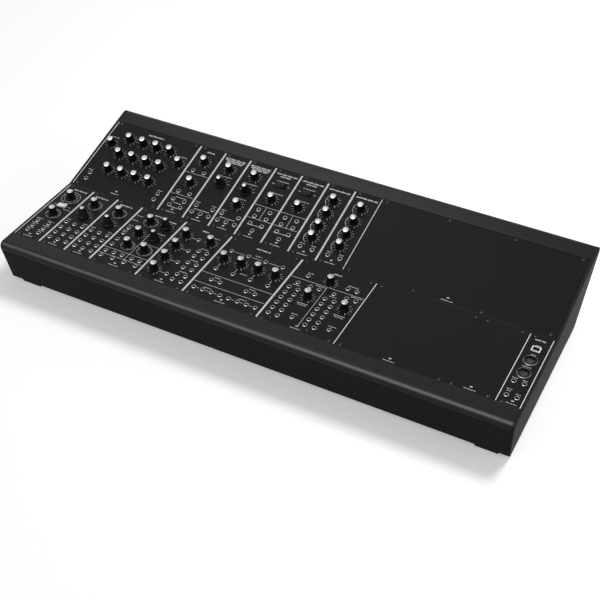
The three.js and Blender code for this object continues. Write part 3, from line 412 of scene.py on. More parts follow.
def board_material(name):
    """Green mask on the board, weave showing through it; black parts above, steel posts below."""
    material, tree = new_material(name)
    place = add(tree, "ShaderNodeTexCoord").outputs["Object"]
    weave = add(tree, "ShaderNodeTexChecker", {
        "Vector": place, "Scale": 1 / (1.2 * MM), "Color1": linear("#1c4a2c"), "Color2": linear("#225534"),
    })
    cloth = add(tree, "ShaderNodeTexNoise", {"Vector": place, "Scale": 1 / (4 * MM), "Detail": 2.0})
    mask = add(tree, "ShaderNodeMix", {0: 0.4, 6: weave.outputs[0], 7: cloth.outputs["Color"]},
               data_type="RGBA", blend_type="SOFT_LIGHT")
    height = add(tree, "ShaderNodeSeparateXYZ", {0: place}).outputs["Z"]
    above = add(tree, "ShaderNodeMath", {0: height, 1: BOARD_HIGH * MM}, operation="GREATER_THAN")
    below = add(tree, "ShaderNodeMath", {0: height, 1: BOARD_LOW * MM}, operation="LESS_THAN")
    parts = add(tree, "ShaderNodeMix", {0: above.outputs[0], 6: mask.outputs[2], 7: linear("#19191a")},
                data_type="RGBA")
    whole = add(tree, "ShaderNodeMix", {0: below.outputs[0], 6: parts.outputs[2], 7: linear("#9a9a98")},
                data_type="RGBA")
    shader = add(tree, "ShaderNodeBsdfPrincipled", {
        "Base Color": whole.outputs[2], "Roughness": 0.4, "Specular IOR Level": 0.4,
    })
    add(tree, "ShaderNodeOutputMaterial", {"Surface": shader.outputs[0]})
    return material


floor_board = board_material("green_masked_fibreglass")
dress("bus_board", floor_board)
dress("power_board", floor_board)


# Layout of the modules
# Two rows of modules on a 5.08 mm grid, the front one level and the rear one tilted up. Places of knobs,
# sockets and connectors are in mm from the panel's middle and from its lower edge.
GRID = 5.08
KNOB_ROW = 0.783 * PANEL_HEIGHT
SELECTOR_ROW = 0.568 * PANEL_HEIGHT
LOW_KNOB_ROW = 0.367 * PANEL_HEIGHT
SECTION_PITCH = 0.3206 * PANEL_HEIGHT
SOCKET_BASE = 0.1175 * PANEL_HEIGHT
SOCKET_STEP = 0.086 * PANEL_HEIGHT
WIDE_STEP = 0.0973 * PANEL_HEIGHT
KNOB_TO_SOCKET = 0.1416 * PANEL_HEIGHT
BAND_ROW_PITCH = 0.2358 * PANEL_HEIGHT
BAND_PITCH = 4.49 * GRID
SOCKET_PITCH = 2.5 * GRID
TRIPLE_PITCH = 2.58 * GRID
PAIR_PITCH = 3.5 * GRID
AMPLIFIER_ROW = 0.3043 * PANEL_HEIGHT
AMPLIFIER_STEP = 0.0942 * PANEL_HEIGHT
ENVELOPE_STEP = 0.1813 * PANEL_HEIGHT
ENVELOPE_LAST_STEP = 0.1603 * PANEL_HEIGHT
CHANNEL_BASE = 0.1626 * PANEL_HEIGHT
CHANNEL_PITCH = 0.207 * PANEL_HEIGHT
CHANNEL_STEP = 0.0895 * PANEL_HEIGHT
CHANNEL_KNOB = 3.82 * GRID
CHANNEL_GROUP = 3.66 * GRID
OSCILLATOR_ROW = 0.8054 * PANEL_HEIGHT
OSCILLATOR_STEP = 0.2296 * PANEL_HEIGHT
COLUMN_BASE = 0.316 * PANEL_HEIGHT
COLUMN_STEP = 0.0957 * PANEL_HEIGHT
COLUMN_PITCH = 0.2101 * PANEL_HEIGHT
OSCILLATOR_KNOB = 1.26 * GRID
OSCILLATOR_SELECTOR = 3.48 * GRID
OSCILLATOR_LOW_KNOB = 3.92 * GRID
ATTENUATOR_ROW = 0.6241 * PANEL_HEIGHT
ATTENUATOR_LOW_ROW = 0.4623 * PANEL_HEIGHT
CONTROLLER_ROW = 0.4903 * PANEL_HEIGHT
GATE_ROW = 0.6467 * PANEL_HEIGHT
CONTROLLER_KNOB = 2.38 * GRID
CONTROLLER_GRID = 3.6 * GRID
GATE_PLACE = 1.1 * GRID
TRIGGER_PLACE = 4.84 * GRID
PORT_ROW = 0.8031 * PANEL_HEIGHT
DIN_ROWS = (0.635 * PANEL_HEIGHT, 0.4506 * PANEL_HEIGHT)
INTERFACE_ROW = 0.3152 * PANEL_HEIGHT


def spread(count, pitch, middle=0.0):
    return [middle + (i - (count - 1) / 2) * pitch for i in range(count)]


def climb(count, step, start):
    return [start + i * step for i in range(count)]


def grid(columns, rows):
    return [(across, up) for up in rows for across in columns]


pair = spread(2, PAIR_PITCH)
triple = spread(3, TRIPLE_PITCH)
section_rows = [KNOB_ROW, KNOB_ROW - SECTION_PITCH]
low_two = climb(2, SOCKET_STEP, SOCKET_BASE)
band_edges = spread(2, 5 * BAND_PITCH)
channels = climb(4, CHANNEL_PITCH, CHANNEL_BASE)
attenuator_columns = spread(4, 2 * SOCKET_PITCH)
oscillator_columns = spread(4, PAIR_PITCH)
halves = spread(2, 4 * SOCKET_PITCH)
filter_sockets = grid(triple, [SOCKET_BASE]) + grid([triple[0], triple[2]], [SOCKET_BASE + WIDE_STEP])
amplifier = {
    "units": 8, "knobs": [(0, SELECTOR_ROW)], "rockers": [(0, KNOB_ROW)],
    "sockets": [
        (0, SOCKET_BASE), *grid(pair, [SOCKET_BASE + SOCKET_STEP]),
        *grid(pair, climb(2, AMPLIFIER_STEP, AMPLIFIER_ROW)),
    ],
}
envelope = {
    "units": 8,
    "fixed_knobs": [(0, up) for up in climb(3, -ENVELOPE_STEP, KNOB_ROW)]
    + [(0, KNOB_ROW - 2 * ENVELOPE_STEP - ENVELOPE_LAST_STEP)],
    "sockets": grid(pair, [SOCKET_BASE]),
}
oscillator = {
    "units": 8, "knobs": [(0, KNOB_ROW)], "selectors": [(0, SELECTOR_ROW)],
    "sockets": grid(triple, climb(4, WIDE_STEP, SOCKET_BASE)),
}
tilted_row = {
    "filter_bank": {
        "units": 28,
        "fixed_knobs": [(across, KNOB_ROW - BAND_ROW_PITCH / 2) for across in band_edges]
        + grid(spread(4, BAND_PITCH), climb(3, -BAND_ROW_PITCH, KNOB_ROW)),
        "sockets": grid(band_edges, low_two),
    },
    "noise_source": {
        "units": 8, "knobs": [(0, up) for up in section_rows],
        "sockets": grid(pair, low_two + [up - KNOB_TO_SOCKET for up in section_rows]),
    },
    "high_pass_filter": {
        "units": 8, "knobs": [(0, KNOB_ROW)], "selectors": [(0, SELECTOR_ROW)], "sockets": filter_sockets,
    },
    "low_pass_filter": {
        "units": 8, "knobs": [(0, KNOB_ROW), (0, LOW_KNOB_ROW)], "selectors": [(0, SELECTOR_ROW)],
        "sockets": filter_sockets,
    },
    "first_amplifier": amplifier,
    "second_amplifier": amplifier,
    "first_envelope": envelope,
    "second_envelope": envelope,
    "upper_blank": {"units": 56},
}
level_row = {
    "oscillator_driver": {
        "units": 8, "knobs": [(0, up) for up in section_rows],
        "rockers": [(0, KNOB_ROW - SECTION_PITCH / 2)],
        "sockets": grid(pair, climb(3, SOCKET_STEP, SOCKET_BASE)),
    },
    "first_oscillator": oscillator,
    "second_oscillator": oscillator,
    "voltage_oscillator": {
        "units": 14,
        "knobs": [
            (-OSCILLATOR_KNOB, OSCILLATOR_ROW), (-OSCILLATOR_KNOB, OSCILLATOR_ROW - OSCILLATOR_STEP),
            (-OSCILLATOR_KNOB, LOW_KNOB_ROW), (OSCILLATOR_LOW_KNOB, LOW_KNOB_ROW),
        ],
        "selectors": [
            (OSCILLATOR_SELECTOR, OSCILLATOR_ROW), (OSCILLATOR_SELECTOR, OSCILLATOR_ROW - OSCILLATOR_STEP),
        ],
        "sockets": [
            *grid(oscillator_columns, [SOCKET_BASE]),
            *grid(climb(3, SOCKET_PITCH, oscillator_columns[0]), [SOCKET_BASE + SOCKET_STEP]),
            *grid(climb(2, -SOCKET_PITCH, oscillator_columns[3]), [SOCKET_BASE + SOCKET_STEP]),
            *grid([oscillator_columns[0]], climb(2, COLUMN_STEP, COLUMN_BASE)),
            *grid([oscillator_columns[0]], climb(2, COLUMN_STEP, COLUMN_BASE + COLUMN_PITCH)),
        ],
    },
    "mixer": {
        "units": 14,
        "fixed_knobs": [(-CHANNEL_KNOB, up) for up in channels] + [(CHANNEL_GROUP, channels[3])],
        "sockets": [(0, up) for up in channels] + [
            place for up in channels[:3]
            for place in grid(spread(2, SOCKET_PITCH, CHANNEL_GROUP), spread(2, CHANNEL_STEP, up))
        ],
    },
    "attenuator": {
        "units": 21, "knobs": grid(attenuator_columns, [ATTENUATOR_ROW]),
        "sockets": [
            *grid(attenuator_columns, [KNOB_ROW, ATTENUATOR_LOW_ROW]),
            *[place for middle in spread(2, 4 * SOCKET_PITCH)
              for place in grid(spread(2, SOCKET_PITCH, middle), [SOCKET_BASE + 2 * SOCKET_STEP])],
            *grid(spread(8, SOCKET_PITCH), [SOCKET_BASE]),
        ],
    },
    "controller": {
        "units": 21,
        "knobs": [(0, KNOB_ROW)] + [(half + CONTROLLER_KNOB, CONTROLLER_ROW) for half in halves],
        "sockets": [
            (-2.5 * SOCKET_PITCH, KNOB_ROW), *grid(climb(2, SOCKET_PITCH, TRIGGER_PLACE), [KNOB_ROW]),
            *[place for half in halves for place in [
                (half - CONTROLLER_KNOB, GATE_ROW),
                *grid(climb(2, SOCKET_PITCH, half + GATE_PLACE), [GATE_ROW]),
                *grid(climb(2, SOCKET_PITCH, half - CONTROLLER_GRID), climb(6, SOCKET_STEP, SOCKET_BASE)),
                (half + CONTROLLER_KNOB, SOCKET_BASE + SOCKET_STEP / 2),
            ]],
        ],
    },
    "lower_wide_blank": {"units": 28},
    "lower_narrow_blank": {"units": 12},
    "interface": {
        "units": 6, "ports": [(0, PORT_ROW)], "dins": [(0, up) for up in DIN_ROWS],
        "sockets": grid(spread(2, SOCKET_PITCH), [SOCKET_BASE, INTERFACE_ROW]),
    },
}

modules = {}
for row, along in (
    (level_row, Matrix.Translation((-ROW_WIDTH / 2, *level(-row_end, 0)))),
    (tilted_row,
     Matrix.Translation((-ROW_WIDTH / 2, *tilted(BEND_GAP, 0))) @ Matrix.Rotation(ROW_TILT, 4, "X")),
):
    start = 0
    for name, spec in row.items():
        width = spec["units"] * GRID
        kinds = {
            kind: [(width / 2 + across, up) for across, up in spec.get(kind, [])]
            for kind in ("knobs", "fixed_knobs", "selectors", "rockers", "ports", "dins", "sockets")
        }
        place = along @ Matrix.Translation((start, 0, 0))
        modules[name] = {"width": width, "place": place, **kinds}
        start += width


def on_panel(module, x, y):
    """Where a part sits on its module's panel."""
    return module["place"] @ Matrix.Translation((x, y, 0))


# Panels
# Each front panel is 2 mm aluminium, punched and milled, lightly chamfered and anodised black, so that it
# is a little smoother than the case. Pieces stand in its real holes.
PANEL_PLAY = 0.3
PANEL_THICKNESS = 2
PANEL_CHAMFER = 0.3
BUSH_HOLE = 2.7  # radius of the hole that a socket's bush stands in
SHAFT_HOLE = 3.4
ROCKER_WINDOW = (7.4, 4.3)
PORT_WINDOW = (5.7, 4.8)
DIN_HOLE = 8.3

panel_anodised = grained(
    "fine_black_anodised_aluminium", "#131314", "#1b1b1c", 0.38, 0.9, 0.02, specular=0.13
)


def rectangle(bm, x, y, wide, tall, z=0.0):
    """Draws a rectangle's four edges round (x, y)."""
    ways = ((-1, -1), (1, -1), (1, 1), (-1, 1))
    corners = [bm.verts.new((x + a * wide, y + b * tall, z)) for a, b in ways]
    for first, second in zip(corners, corners[1:] + corners[:1]):
        bm.edges.new((first, second))
    return corners


def ring(bm, x, y, radius, sides, z=0.0):
    bmesh.ops.create_circle(
        bm, cap_ends=False, radius=radius, segments=sides, matrix=Matrix.Translation((x, y, z))
    )


def fill_and_raise(bm, height):
    """Fills the drawn outlines, with the inner ones as holes, and raises them to a solid."""
    bmesh.ops.triangle_fill(bm, use_beauty=True, edges=bm.edges[:], normal=(0, 0, 1))
    raised(bm, bm.faces[:], (0, 0, height))


def thicken(bm, low, chamfer, outer):
    """Fills the drawn outlines in the same way and raises them to a plate with a chamfered rim."""
    bmesh.ops.triangle_fill(bm, use_beauty=True, edges=bm.edges[:], normal=(0, 0, 1))
    bmesh.ops.translate(bm, verts=bm.verts[:], vec=(0, 0, low))
    for step in (-low - chamfer, chamfer):
        top = [f for f in bm.faces if abs(f.normal.z) > 0.9 and f.calc_center_median().z > low - 0.01]
        highest = max(f.calc_center_median().z for f in top)
        top = [f for f in top if f.calc_center_median().z > highest - WELD]
        run = bmesh.ops.extrude_face_region(bm, geom=top)
        bmesh.ops.translate(bm, verts=verts_of(run), vec=(0, 0, step))
    middle = sum(outer, Vector((0, 0))) / len(outer)
    for vert in bm.verts:
        if vert.co.z > -WELD and any((vert.co.xy - corner).length < WELD for corner in outer):
            vert.co.x -= math.copysign(chamfer, vert.co.x - middle.x)
            vert.co.y -= math.copysign(chamfer, vert.co.y - middle.y)
    bmesh.ops.recalc_face_normals(bm, faces=bm.faces[:])


for name, module in modules.items():
    panel = bmesh.new()
    half = (module["width"] - PANEL_PLAY) / 2
    corners = rectangle(panel, module["width"] / 2, PANEL_HEIGHT / 2, half, PANEL_HEIGHT / 2)
    outer = [Vector(corner.co.xy) for corner in corners]
    for x, y in module["sockets"]:
        ring(panel, x, y, BUSH_HOLE, 16)
    for x, y in module["knobs"] + module["selectors"]:
        ring(panel, x, y, SHAFT_HOLE, 24)
    for x, y in module["rockers"]:
        rectangle(panel, x, y, *ROCKER_WINDOW)
    for x, y in module["ports"]:
        rectangle(panel, x, y, *PORT_WINDOW)
    for x, y in module["dins"]:
        ring(panel, x, y, DIN_HOLE, 32)
    thicken(panel, -PANEL_THICKNESS, PANEL_CHAMFER, outer)
    bmesh.ops.transform(panel, matrix=module["place"], verts=panel.verts[:])
    kind = "module" if module["sockets"] else "panel"
    piece(f"{name}_face", panel, [panel_anodised], stands_for=[f"{name}_{kind}"])


# Boards behind the panels
# Behind each panel a masked board hangs on its sockets and potentiometers. The potentiometers have steel
# cans, the sockets and rocker housings black nylon bodies soldered to the board.
BODY_DEPTH = 10
MODULE_BOARD = 1.6
BOARD_SIDE_INSET = 2.5
BOARD_END_INSET = 11
POT_HALF = 5.5
POT_TOP = -8.5
SOCKET_BODY_HALF = 4.6
SOCKET_BODY_TOP = -7.05
ROCKER_HOUSING = (9.2, 6.1)
POCKET_FLOOR = -4.4
CONNECTOR_DEPTH = 8

green_mask = grained("green_mask_on_fibreglass", "#1b472a", "#225434", 0.4, 1.2, 0.02, specular=0.4)
pressed_steel = grained("pressed_zinc_plated_steel", "#9b9c9e", "#b4b5b7", 0.35, 0.6, 0.01, metallic=1.0)
nylon = grained("moulded_black_nylon", "#0e0e0f", "#161617", 0.5, 0.7, 0.03, specular=0.15)
STEEL = 1  # place in the piece's list of materials, after the mask
NYLON = 2


def paint(verts, index):
    """Gives a block its material, by its place in the piece's list."""
    for face in {face for vert in verts for face in vert.link_faces}:
        face.material_index = index


for name, module in modules.items():
    if not module["sockets"]:
        continue
    back = bmesh.new()
    top = -PANEL_THICKNESS - BODY_DEPTH
    inset = BOARD_SIDE_INSET + PANEL_PLAY / 2
    block(back, (inset, BOARD_END_INSET, top - MODULE_BOARD),
          (module["width"] - inset, PANEL_HEIGHT - BOARD_END_INSET, top))
    for kinds, wide, tall, height, index in (
        (("knobs", "selectors", "fixed_knobs"), POT_HALF, POT_HALF, POT_TOP, STEEL),
        (("sockets",), SOCKET_BODY_HALF, SOCKET_BODY_HALF, SOCKET_BODY_TOP, NYLON),
        (("rockers",), *ROCKER_HOUSING, POCKET_FLOOR, NYLON),
    ):
        for x, y in (place for kind in kinds for place in module[kind]):
            paint(block(back, (x - wide, y - tall, top), (x + wide, y + tall, height)), index)
    bmesh.ops.transform(back, matrix=module["place"], verts=back.verts[:])
    piece(f"{name}_board", back, [green_mask, pressed_steel, nylon])


# Patch sockets
# 3.5 mm sockets: a nickel plated brass bush with a thin round nut holds each in its panel, and the bore
# runs down into the dark body; the bore's wall inside the bush is painted dark as well, as painted shade.
# They are small turned parts, plated bright over the fine marks of the tool.
NUT_RADIUS = 3.1
NUT_HEIGHT = 0.5
BUSH_RADIUS = 2.6
BUSH_TOP = 0.75
BORE_RADIUS = 2.2
BORE_FLOOR = -6.6
SOCKET_STEPS = 16


def turned(profile, steps):
    """A piece spun round the Z axis from its (radius, height) profile, closed at the axis or as a ring."""
    bm = bmesh.new()
    points = [bm.verts.new((radius, 0, height)) for radius, height in profile]
    edges = [bm.edges.new(two) for two in zip(points, points[1:])]
    bmesh.ops.spin(
        bm, geom=points + edges, cent=(0, 0, 0), axis=(0, 0, 1), angle=2 * math.pi, steps=steps,
        use_merge=True,
    )
    bmesh.ops.remove_doubles(bm, verts=bm.verts[:], dist=WELD / 2)
    bmesh.ops.recalc_face_normals(bm, faces=bm.faces[:])
    return bm


def stamp(bm, shape, matrix):
    """Adds a copy of a finished shape at a place."""
    copy = shape.copy()
    copy.transform(matrix)
    bm.from_mesh(copy)
    bpy.data.meshes.remove(copy)


def shape_of(bm, name):
    """Keeps a drawn shape as a mesh, to stamp it many times."""
    mesh = bpy.data.meshes.new(name)
    bm.to_mesh(mesh)
    bm.free()
    return mesh


nickel = grained("nickel_plated_brass", "#b4b4b1", "#cbcbc7", 0.28, 0.5, 0.01, metallic=1.0)
DARK = 1  # place of the dark material in a piece's list
socket = turned([
    (0, BORE_FLOOR - 0.4), (BUSH_RADIUS, BORE_FLOOR - 0.4), (BUSH_RADIUS, CLEAR), (NUT_RADIUS, CLEAR),
    (NUT_RADIUS, NUT_HEIGHT - 0.2), (NUT_RADIUS - 0.25, NUT_HEIGHT), (BUSH_RADIUS, NUT_HEIGHT),
    (BUSH_RADIUS - 0.1, BUSH_TOP), (BORE_RADIUS + 0.15, BUSH_TOP), (BORE_RADIUS, BUSH_TOP - 0.2),
    (BORE_RADIUS, BORE_FLOOR), (0, BORE_FLOOR),
], SOCKET_STEPS)
# The bore gets the dark nylon: its floor is the socket's dark body, its wall inside the nickel bush is
# painted shade.
for face in socket.faces:
    middle = face.calc_center_median()
    if middle.xy.length < BORE_RADIUS + CLEAR and middle.z > BORE_FLOOR - 0.1:
        face.material_index = DARK
socket_shape = shape_of(socket, "socket")
for name, module in modules.items():
    if module["sockets"]:
        sockets = bmesh.new()
        for x, y in module["sockets"]:
            stamp(sockets, socket_shape, on_panel(module, x, y))
        piece(f"{name}_sockets", sockets, [nickel, nylon])


# Turning knobs
# Moulded phenolic with ribs all round for the fingers, pressed on the potentiometer's shaft. The cap is a
# spun aluminium disc let into the top, bright with fine rings; a line on cap and side shows the turn.
KNOB_LIFT = 0.7
KNOB_HEIGHT = 12.7
KNOB_RADIUS = 5.7
KNOB_TOP_RADIUS = 5.05
CAP_RADIUS = 4.2
CAP_FLOOR = 11.3
SHAFT_RADIUS = 3
SHAFT_DEPTH = 8
KNOB_STEPS = 36
RIB = 0.93  # how far in the grooves between the ribs are, as a share of the radius
LINE_WIDTH = 0.7
RING_PITCH = 0.35  # of the rings that spinning leaves on a cap
SIDE_LINE_FOOT = 2.2
SIDE_LINE_TAPER = 0.058  # leans in with the grip's side
BLACK_INK = 1  # places in a cap's list of materials
WHITE_INK = 2

phenolic = grained("moulded_black_phenolic", "#0b0b0c", "#131314", 0.34, 0.6, 0.02, specular=0.13)


def spun_material(name):
    """Spun aluminium: fine rings round each cap's own middle, kept in the mesh as its own layout."""
    material, tree = new_material(name)
    spot = add(tree, "ShaderNodeAttribute", attribute_name="radius").outputs["Fac"]
    wave = add(tree, "ShaderNodeMath", {0: spot, 1: 2 * math.pi / RING_PITCH}, operation="MULTIPLY")
    rings = add(tree, "ShaderNodeMath", {0: wave.outputs[0]}, operation="SINE")
    place = add(tree, "ShaderNodeTexCoord").outputs["Object"]
    haze = add(tree, "ShaderNodeTexNoise", {"Vector": place, "Scale": 1 / (1.5 * MM), "Detail": 2.0})
    tint = add(tree, "ShaderNodeMix", {
        0: haze.outputs["Fac"], 6: linear("#dadad9"), 7: linear("#f6f6f4"),
    }, data_type="RGBA")
    rough = add(tree, "ShaderNodeMapRange", {"Value": haze.outputs["Fac"], "To Min": 0.26, "To Max": 0.38})
    relief = add(tree, "ShaderNodeBump", {
        "Height": rings.outputs[0], "Strength": 0.25, "Distance": 0.02 * MM,
    })
    shader = add(tree, "ShaderNodeBsdfPrincipled", {
        "Base Color": tint.outputs[2], "Roughness": rough.outputs[0], "Normal": relief.outputs[0],
        "Metallic": 1.0,
    })
    add(tree, "ShaderNodeOutputMaterial", {"Surface": shader.outputs[0]})
    return material


spun_aluminium = spun_material("spun_aluminium")
white_ink = grained("white_screen_ink", "#d5d5d2", "#e4e4e1", 0.55, 0.8, 0.01, specular=0.2)
black_ink = grained("black_screen_ink", "#0c0c0c", "#141414", 0.5, 0.8, 0.01, specular=0.3)


def keep_radius(bm):
    """Writes each vertex's distance from the axis, in mm, on the mesh for the rings of the finish."""
    layer = bm.verts.layers.float.new("radius")
    for vert in bm.verts:
        vert[layer] = vert.co.xy.length


def ribbed(profile, low, high, steps):
    """A turned grip whose side is grooved between two heights."""
    bm = turned(profile, steps)
    for vert in bm.verts:
        if low < vert.co.z < high and vert.co.xy.length > SHAFT_RADIUS + 0.1:
            step = round(math.atan2(vert.co.y, vert.co.x) / (2 * math.pi) * steps)
            if step % 2:
                vert.co.x *= RIB
                vert.co.y *= RIB
    return bm


knob = ribbed([
    (0, -SHAFT_DEPTH), (SHAFT_RADIUS, -SHAFT_DEPTH), (SHAFT_RADIUS, KNOB_LIFT),
    (KNOB_RADIUS - 0.2, KNOB_LIFT), (KNOB_RADIUS, KNOB_LIFT + 0.25), (KNOB_RADIUS, KNOB_LIFT + 1.1),
    (KNOB_RADIUS - 0.12, KNOB_LIFT + 1.5), (KNOB_TOP_RADIUS + 0.05, CAP_FLOOR - 0.35),
    (KNOB_TOP_RADIUS - 0.15, CAP_FLOOR + 0.05), (CAP_RADIUS + 0.1, CAP_FLOOR + 0.3),
    (CAP_RADIUS + 0.1, CAP_FLOOR - 0.05), (0, CAP_FLOOR - 0.05),
], KNOB_LIFT + 1.3, CAP_FLOOR - 0.2, KNOB_STEPS)
knob_shape = shape_of(knob, "knob")


def cap_piece(radius, low, high, line_length):
    """A cap with its turned edge, and a black line let into it."""
    bm = turned([
        (0, low), (radius, low), (radius, high - 0.75), (radius - 0.12, high - 0.5),
        (radius - 0.5, high - 0.3), (radius * 0.6, high - 0.1), (radius * 0.3, high - 0.02), (0, high),
    ], 24)
    keep_radius(bm)
    paint(block(bm, (-LINE_WIDTH / 2, radius - line_length, high - 0.6),
                (LINE_WIDTH / 2, radius - 0.2, high - 0.02)), BLACK_INK)
    return bm


knob_cap = cap_piece(CAP_RADIUS, CAP_FLOOR, KNOB_HEIGHT, 2.9)
side_line = block(knob_cap, (-LINE_WIDTH / 2, KNOB_RADIUS - 1.1, SIDE_LINE_FOOT),
                  (LINE_WIDTH / 2, KNOB_RADIUS + CLEAR, CAP_FLOOR - 0.3))
for vert in side_line:
    vert.co.y -= (vert.co.z - SIDE_LINE_FOOT) * SIDE_LINE_TAPER
paint(side_line, WHITE_INK)
knob_cap_shape = shape_of(knob_cap, "knob_cap")


def fit_knobs(kinds, word, grip_mesh, cap_mesh):
    """Stamps a grip and its cap at each place. The ones joined to their panel ride on the case."""
    for name, module in modules.items():
        for kind in kinds:
            for i, (x, y) in enumerate(module[kind], 1):
                label = f"{name}_{word}_{i}" if len(module[kind]) > 1 else f"{name}_{word}"
                turns = kind != "fixed_knobs"
                body = label if turns else "case"
                grip, cap = bmesh.new(), bmesh.new()
                stamp(grip, grip_mesh, on_panel(module, x, y))
                stamp(cap, cap_mesh, on_panel(module, x, y))
                piece(f"{label}_grip", grip, [phenolic], body, [label] if turns else [], sharp=30)
                piece(f"{label}_cap", cap, [spun_aluminium, black_ink, white_ink], body)


fit_knobs(("knobs", "fixed_knobs"), "knob", knob_shape, knob_cap_shape)


# Rotary switch knobs
# A wider phenolic skirt carries a ribbed, tapering grip with a small spun cap. A pointer bar with a white
# line runs out over the skirt to the switch's positions.
SELECTOR_HEIGHT = 16
SKIRT_RADIUS = 7.6
SKIRT_TOP = 3.1
SHOULDER = (5.7, 7.8)  # radius and height
GRIP_RADIUS = 3.6
SELECTOR_CAP_RADIUS = 2.9
SELECTOR_CAP_FLOOR = 14.9
POINTER = (2.2, 7.0, 9.0)  # width, reach and height

selector = ribbed([
    (0, -SHAFT_DEPTH), (SHAFT_RADIUS, -SHAFT_DEPTH), (SHAFT_RADIUS, KNOB_LIFT),
    (SKIRT_RADIUS - 0.2, KNOB_LIFT), (SKIRT_RADIUS, KNOB_LIFT + 0.25), (SKIRT_RADIUS, SKIRT_TOP - 0.7),
    (SKIRT_RADIUS - 0.25, SKIRT_TOP - 0.3), (SKIRT_RADIUS - 0.9, SKIRT_TOP + 0.1),
    (SHOULDER[0] + 0.45, SHOULDER[1] - 2.4), (SHOULDER[0] - 0.3, SHOULDER[1]),
    (GRIP_RADIUS + 0.2, SELECTOR_CAP_FLOOR - 0.8), (GRIP_RADIUS - 0.2, SELECTOR_CAP_FLOOR - 0.1),
    (SELECTOR_CAP_RADIUS + 0.1, SELECTOR_CAP_FLOOR + 0.2),
    (SELECTOR_CAP_RADIUS + 0.1, SELECTOR_CAP_FLOOR - 0.1), (0, SELECTOR_CAP_FLOOR - 0.1),
], SHOULDER[1] - 2, SELECTOR_CAP_FLOOR - 0.5, KNOB_STEPS)
arm = bmesh.new()
block(arm, (-POINTER[0] / 2, 0.5, KNOB_LIFT + 1.2), (POINTER[0] / 2, POINTER[1], POINTER[2]))
soften(arm, 0.35)
arm_shape = shape_of(arm, "selector_arm")
stamp(selector, arm_shape, Matrix.Identity(4))
selector_shape = shape_of(selector, "selector")
selector_cap = cap_piece(SELECTOR_CAP_RADIUS, SELECTOR_CAP_FLOOR, SELECTOR_HEIGHT, 2.0)
for low, high in (
    ((POINTER[1] - 0.3, KNOB_LIFT + 2.4), (POINTER[1] + 0.04, POINTER[2] - 0.4)),
    ((SHOULDER[0] - 0.3, POINTER[2] - 0.3), (POINTER[1] - 0.4, POINTER[2] + 0.04)),
):
    paint(block(selector_cap, (-LINE_WIDTH / 2, *low), (LINE_WIDTH / 2, *high)), WHITE_INK)
selector_cap_shape = shape_of(selector_cap, "selector_cap")

fit_knobs(("selectors",), "selector", selector_shape, selector_cap_shape)


# Rocker switches
# Glossy moulded rockers, one white and three black, tilt in a frame that is snapped into the panel's
# window. Each rests with its left end down.
ROCKER_HALF = 6.6
ROCKER_DEPTH = 8
ROCKER_RISE = 2.4
ROCKER_DIP = 1.4
ROCKER_DROP = 3.6
ROCKER_SHOULDER = 1
ROCKER_FOOT_HALF = 2.5
ROCKER_PIVOT = 1.2
ROCKER_THROW = math.radians(8)
BEZEL = (8.4, 5.3)
BEZEL_RISE = 0.5

white_abs = grained("glossy_white_abs", "#f2f2ef", "#fbfbf9", 0.3, 0.9, 0.01, specular=0.5)
black_abs = grained("glossy_black_abs", "#101011", "#181819", 0.28, 0.9, 0.01, specular=0.25)


def rocker_shape():
    """The rocker's section, with its dished top, run across its depth and softened."""
    bm = bmesh.new()
    halfway = (ROCKER_RISE + ROCKER_DIP) / 2 - 0.15
    outline = [
        (-ROCKER_FOOT_HALF, -ROCKER_DROP), (ROCKER_FOOT_HALF, -ROCKER_DROP),
        (ROCKER_HALF, -ROCKER_SHOULDER), (ROCKER_HALF, ROCKER_RISE), (ROCKER_HALF / 2, halfway),
        (0, ROCKER_DIP), (-ROCKER_HALF / 2, halfway), (-ROCKER_HALF, ROCKER_RISE),
        (-ROCKER_HALF, -ROCKER_SHOULDER),
    ]
    end = bm.faces.new([bm.verts.new((x, -ROCKER_DEPTH / 2, z + ROCKER_PIVOT)) for x, z in outline])
    raised(bm, [end], (0, ROCKER_DEPTH, 0))
    soften(bm, 0.45, 3)
    return shape_of(bm, "rocker")


def frame_shape(outer, inner, low, high, soft):
    """A rectangular frame between two heights."""
    bm = bmesh.new()
    rectangle(bm, 0, 0, *outer, low)
    rectangle(bm, 0, 0, *inner, low)
    fill_and_raise(bm, high - low)
    bmesh.ops.dissolve_limit(bm, angle_limit=0.02, verts=bm.verts[:], edges=bm.edges[:])
    soften(bm, soft)
    return shape_of(bm, "frame")


rocker_mesh = rocker_shape()
bezel_mesh = frame_shape(BEZEL, ROCKER_WINDOW, CLEAR, BEZEL_RISE, 0.2)
pivot = Matrix.Translation((0, 0, -ROCKER_PIVOT)) @ Matrix.Rotation(-ROCKER_THROW, 4, "Y")
for name, module in modules.items():
    for x, y in module["rockers"]:
        rocker, bezel = bmesh.new(), bmesh.new()
        stamp(rocker, rocker_mesh, on_panel(module, x, y) @ pivot)
        stamp(bezel, bezel_mesh, on_panel(module, x, y))
        white = name == "oscillator_driver"
        label = f"{name}_rocker"
        piece(f"{label}_key", rocker, [white_abs if white else black_abs], label,
              [label])
        piece(f"{label}_bezel", bezel, [nylon])


# Interface connectors
# Two round sockets have nickel shells round a grey nylon insulator with five pin holes and a keyway; the
# shells' inner walls above it are painted dark as shade. The square port is a white moulded frame round a
# grey tongue, its inner walls painted dark as shade.
DIN_SHELL = (8.0, 8.5)
DIN_KEY_RING = (6.0, 6.5)
DIN_RISE = 1
DIN_FACE = -1.6
PIN_CIRCLE = 4.2
PIN_RADIUS = 0.75
KEYWAY = (1.1, 0.7)
PORT_OUTER = (5.7, 4.8)
PORT_INNER = (4.1, 3.2)
PORT_RISE = 0.8
TONGUE = (2.8, 1.6)

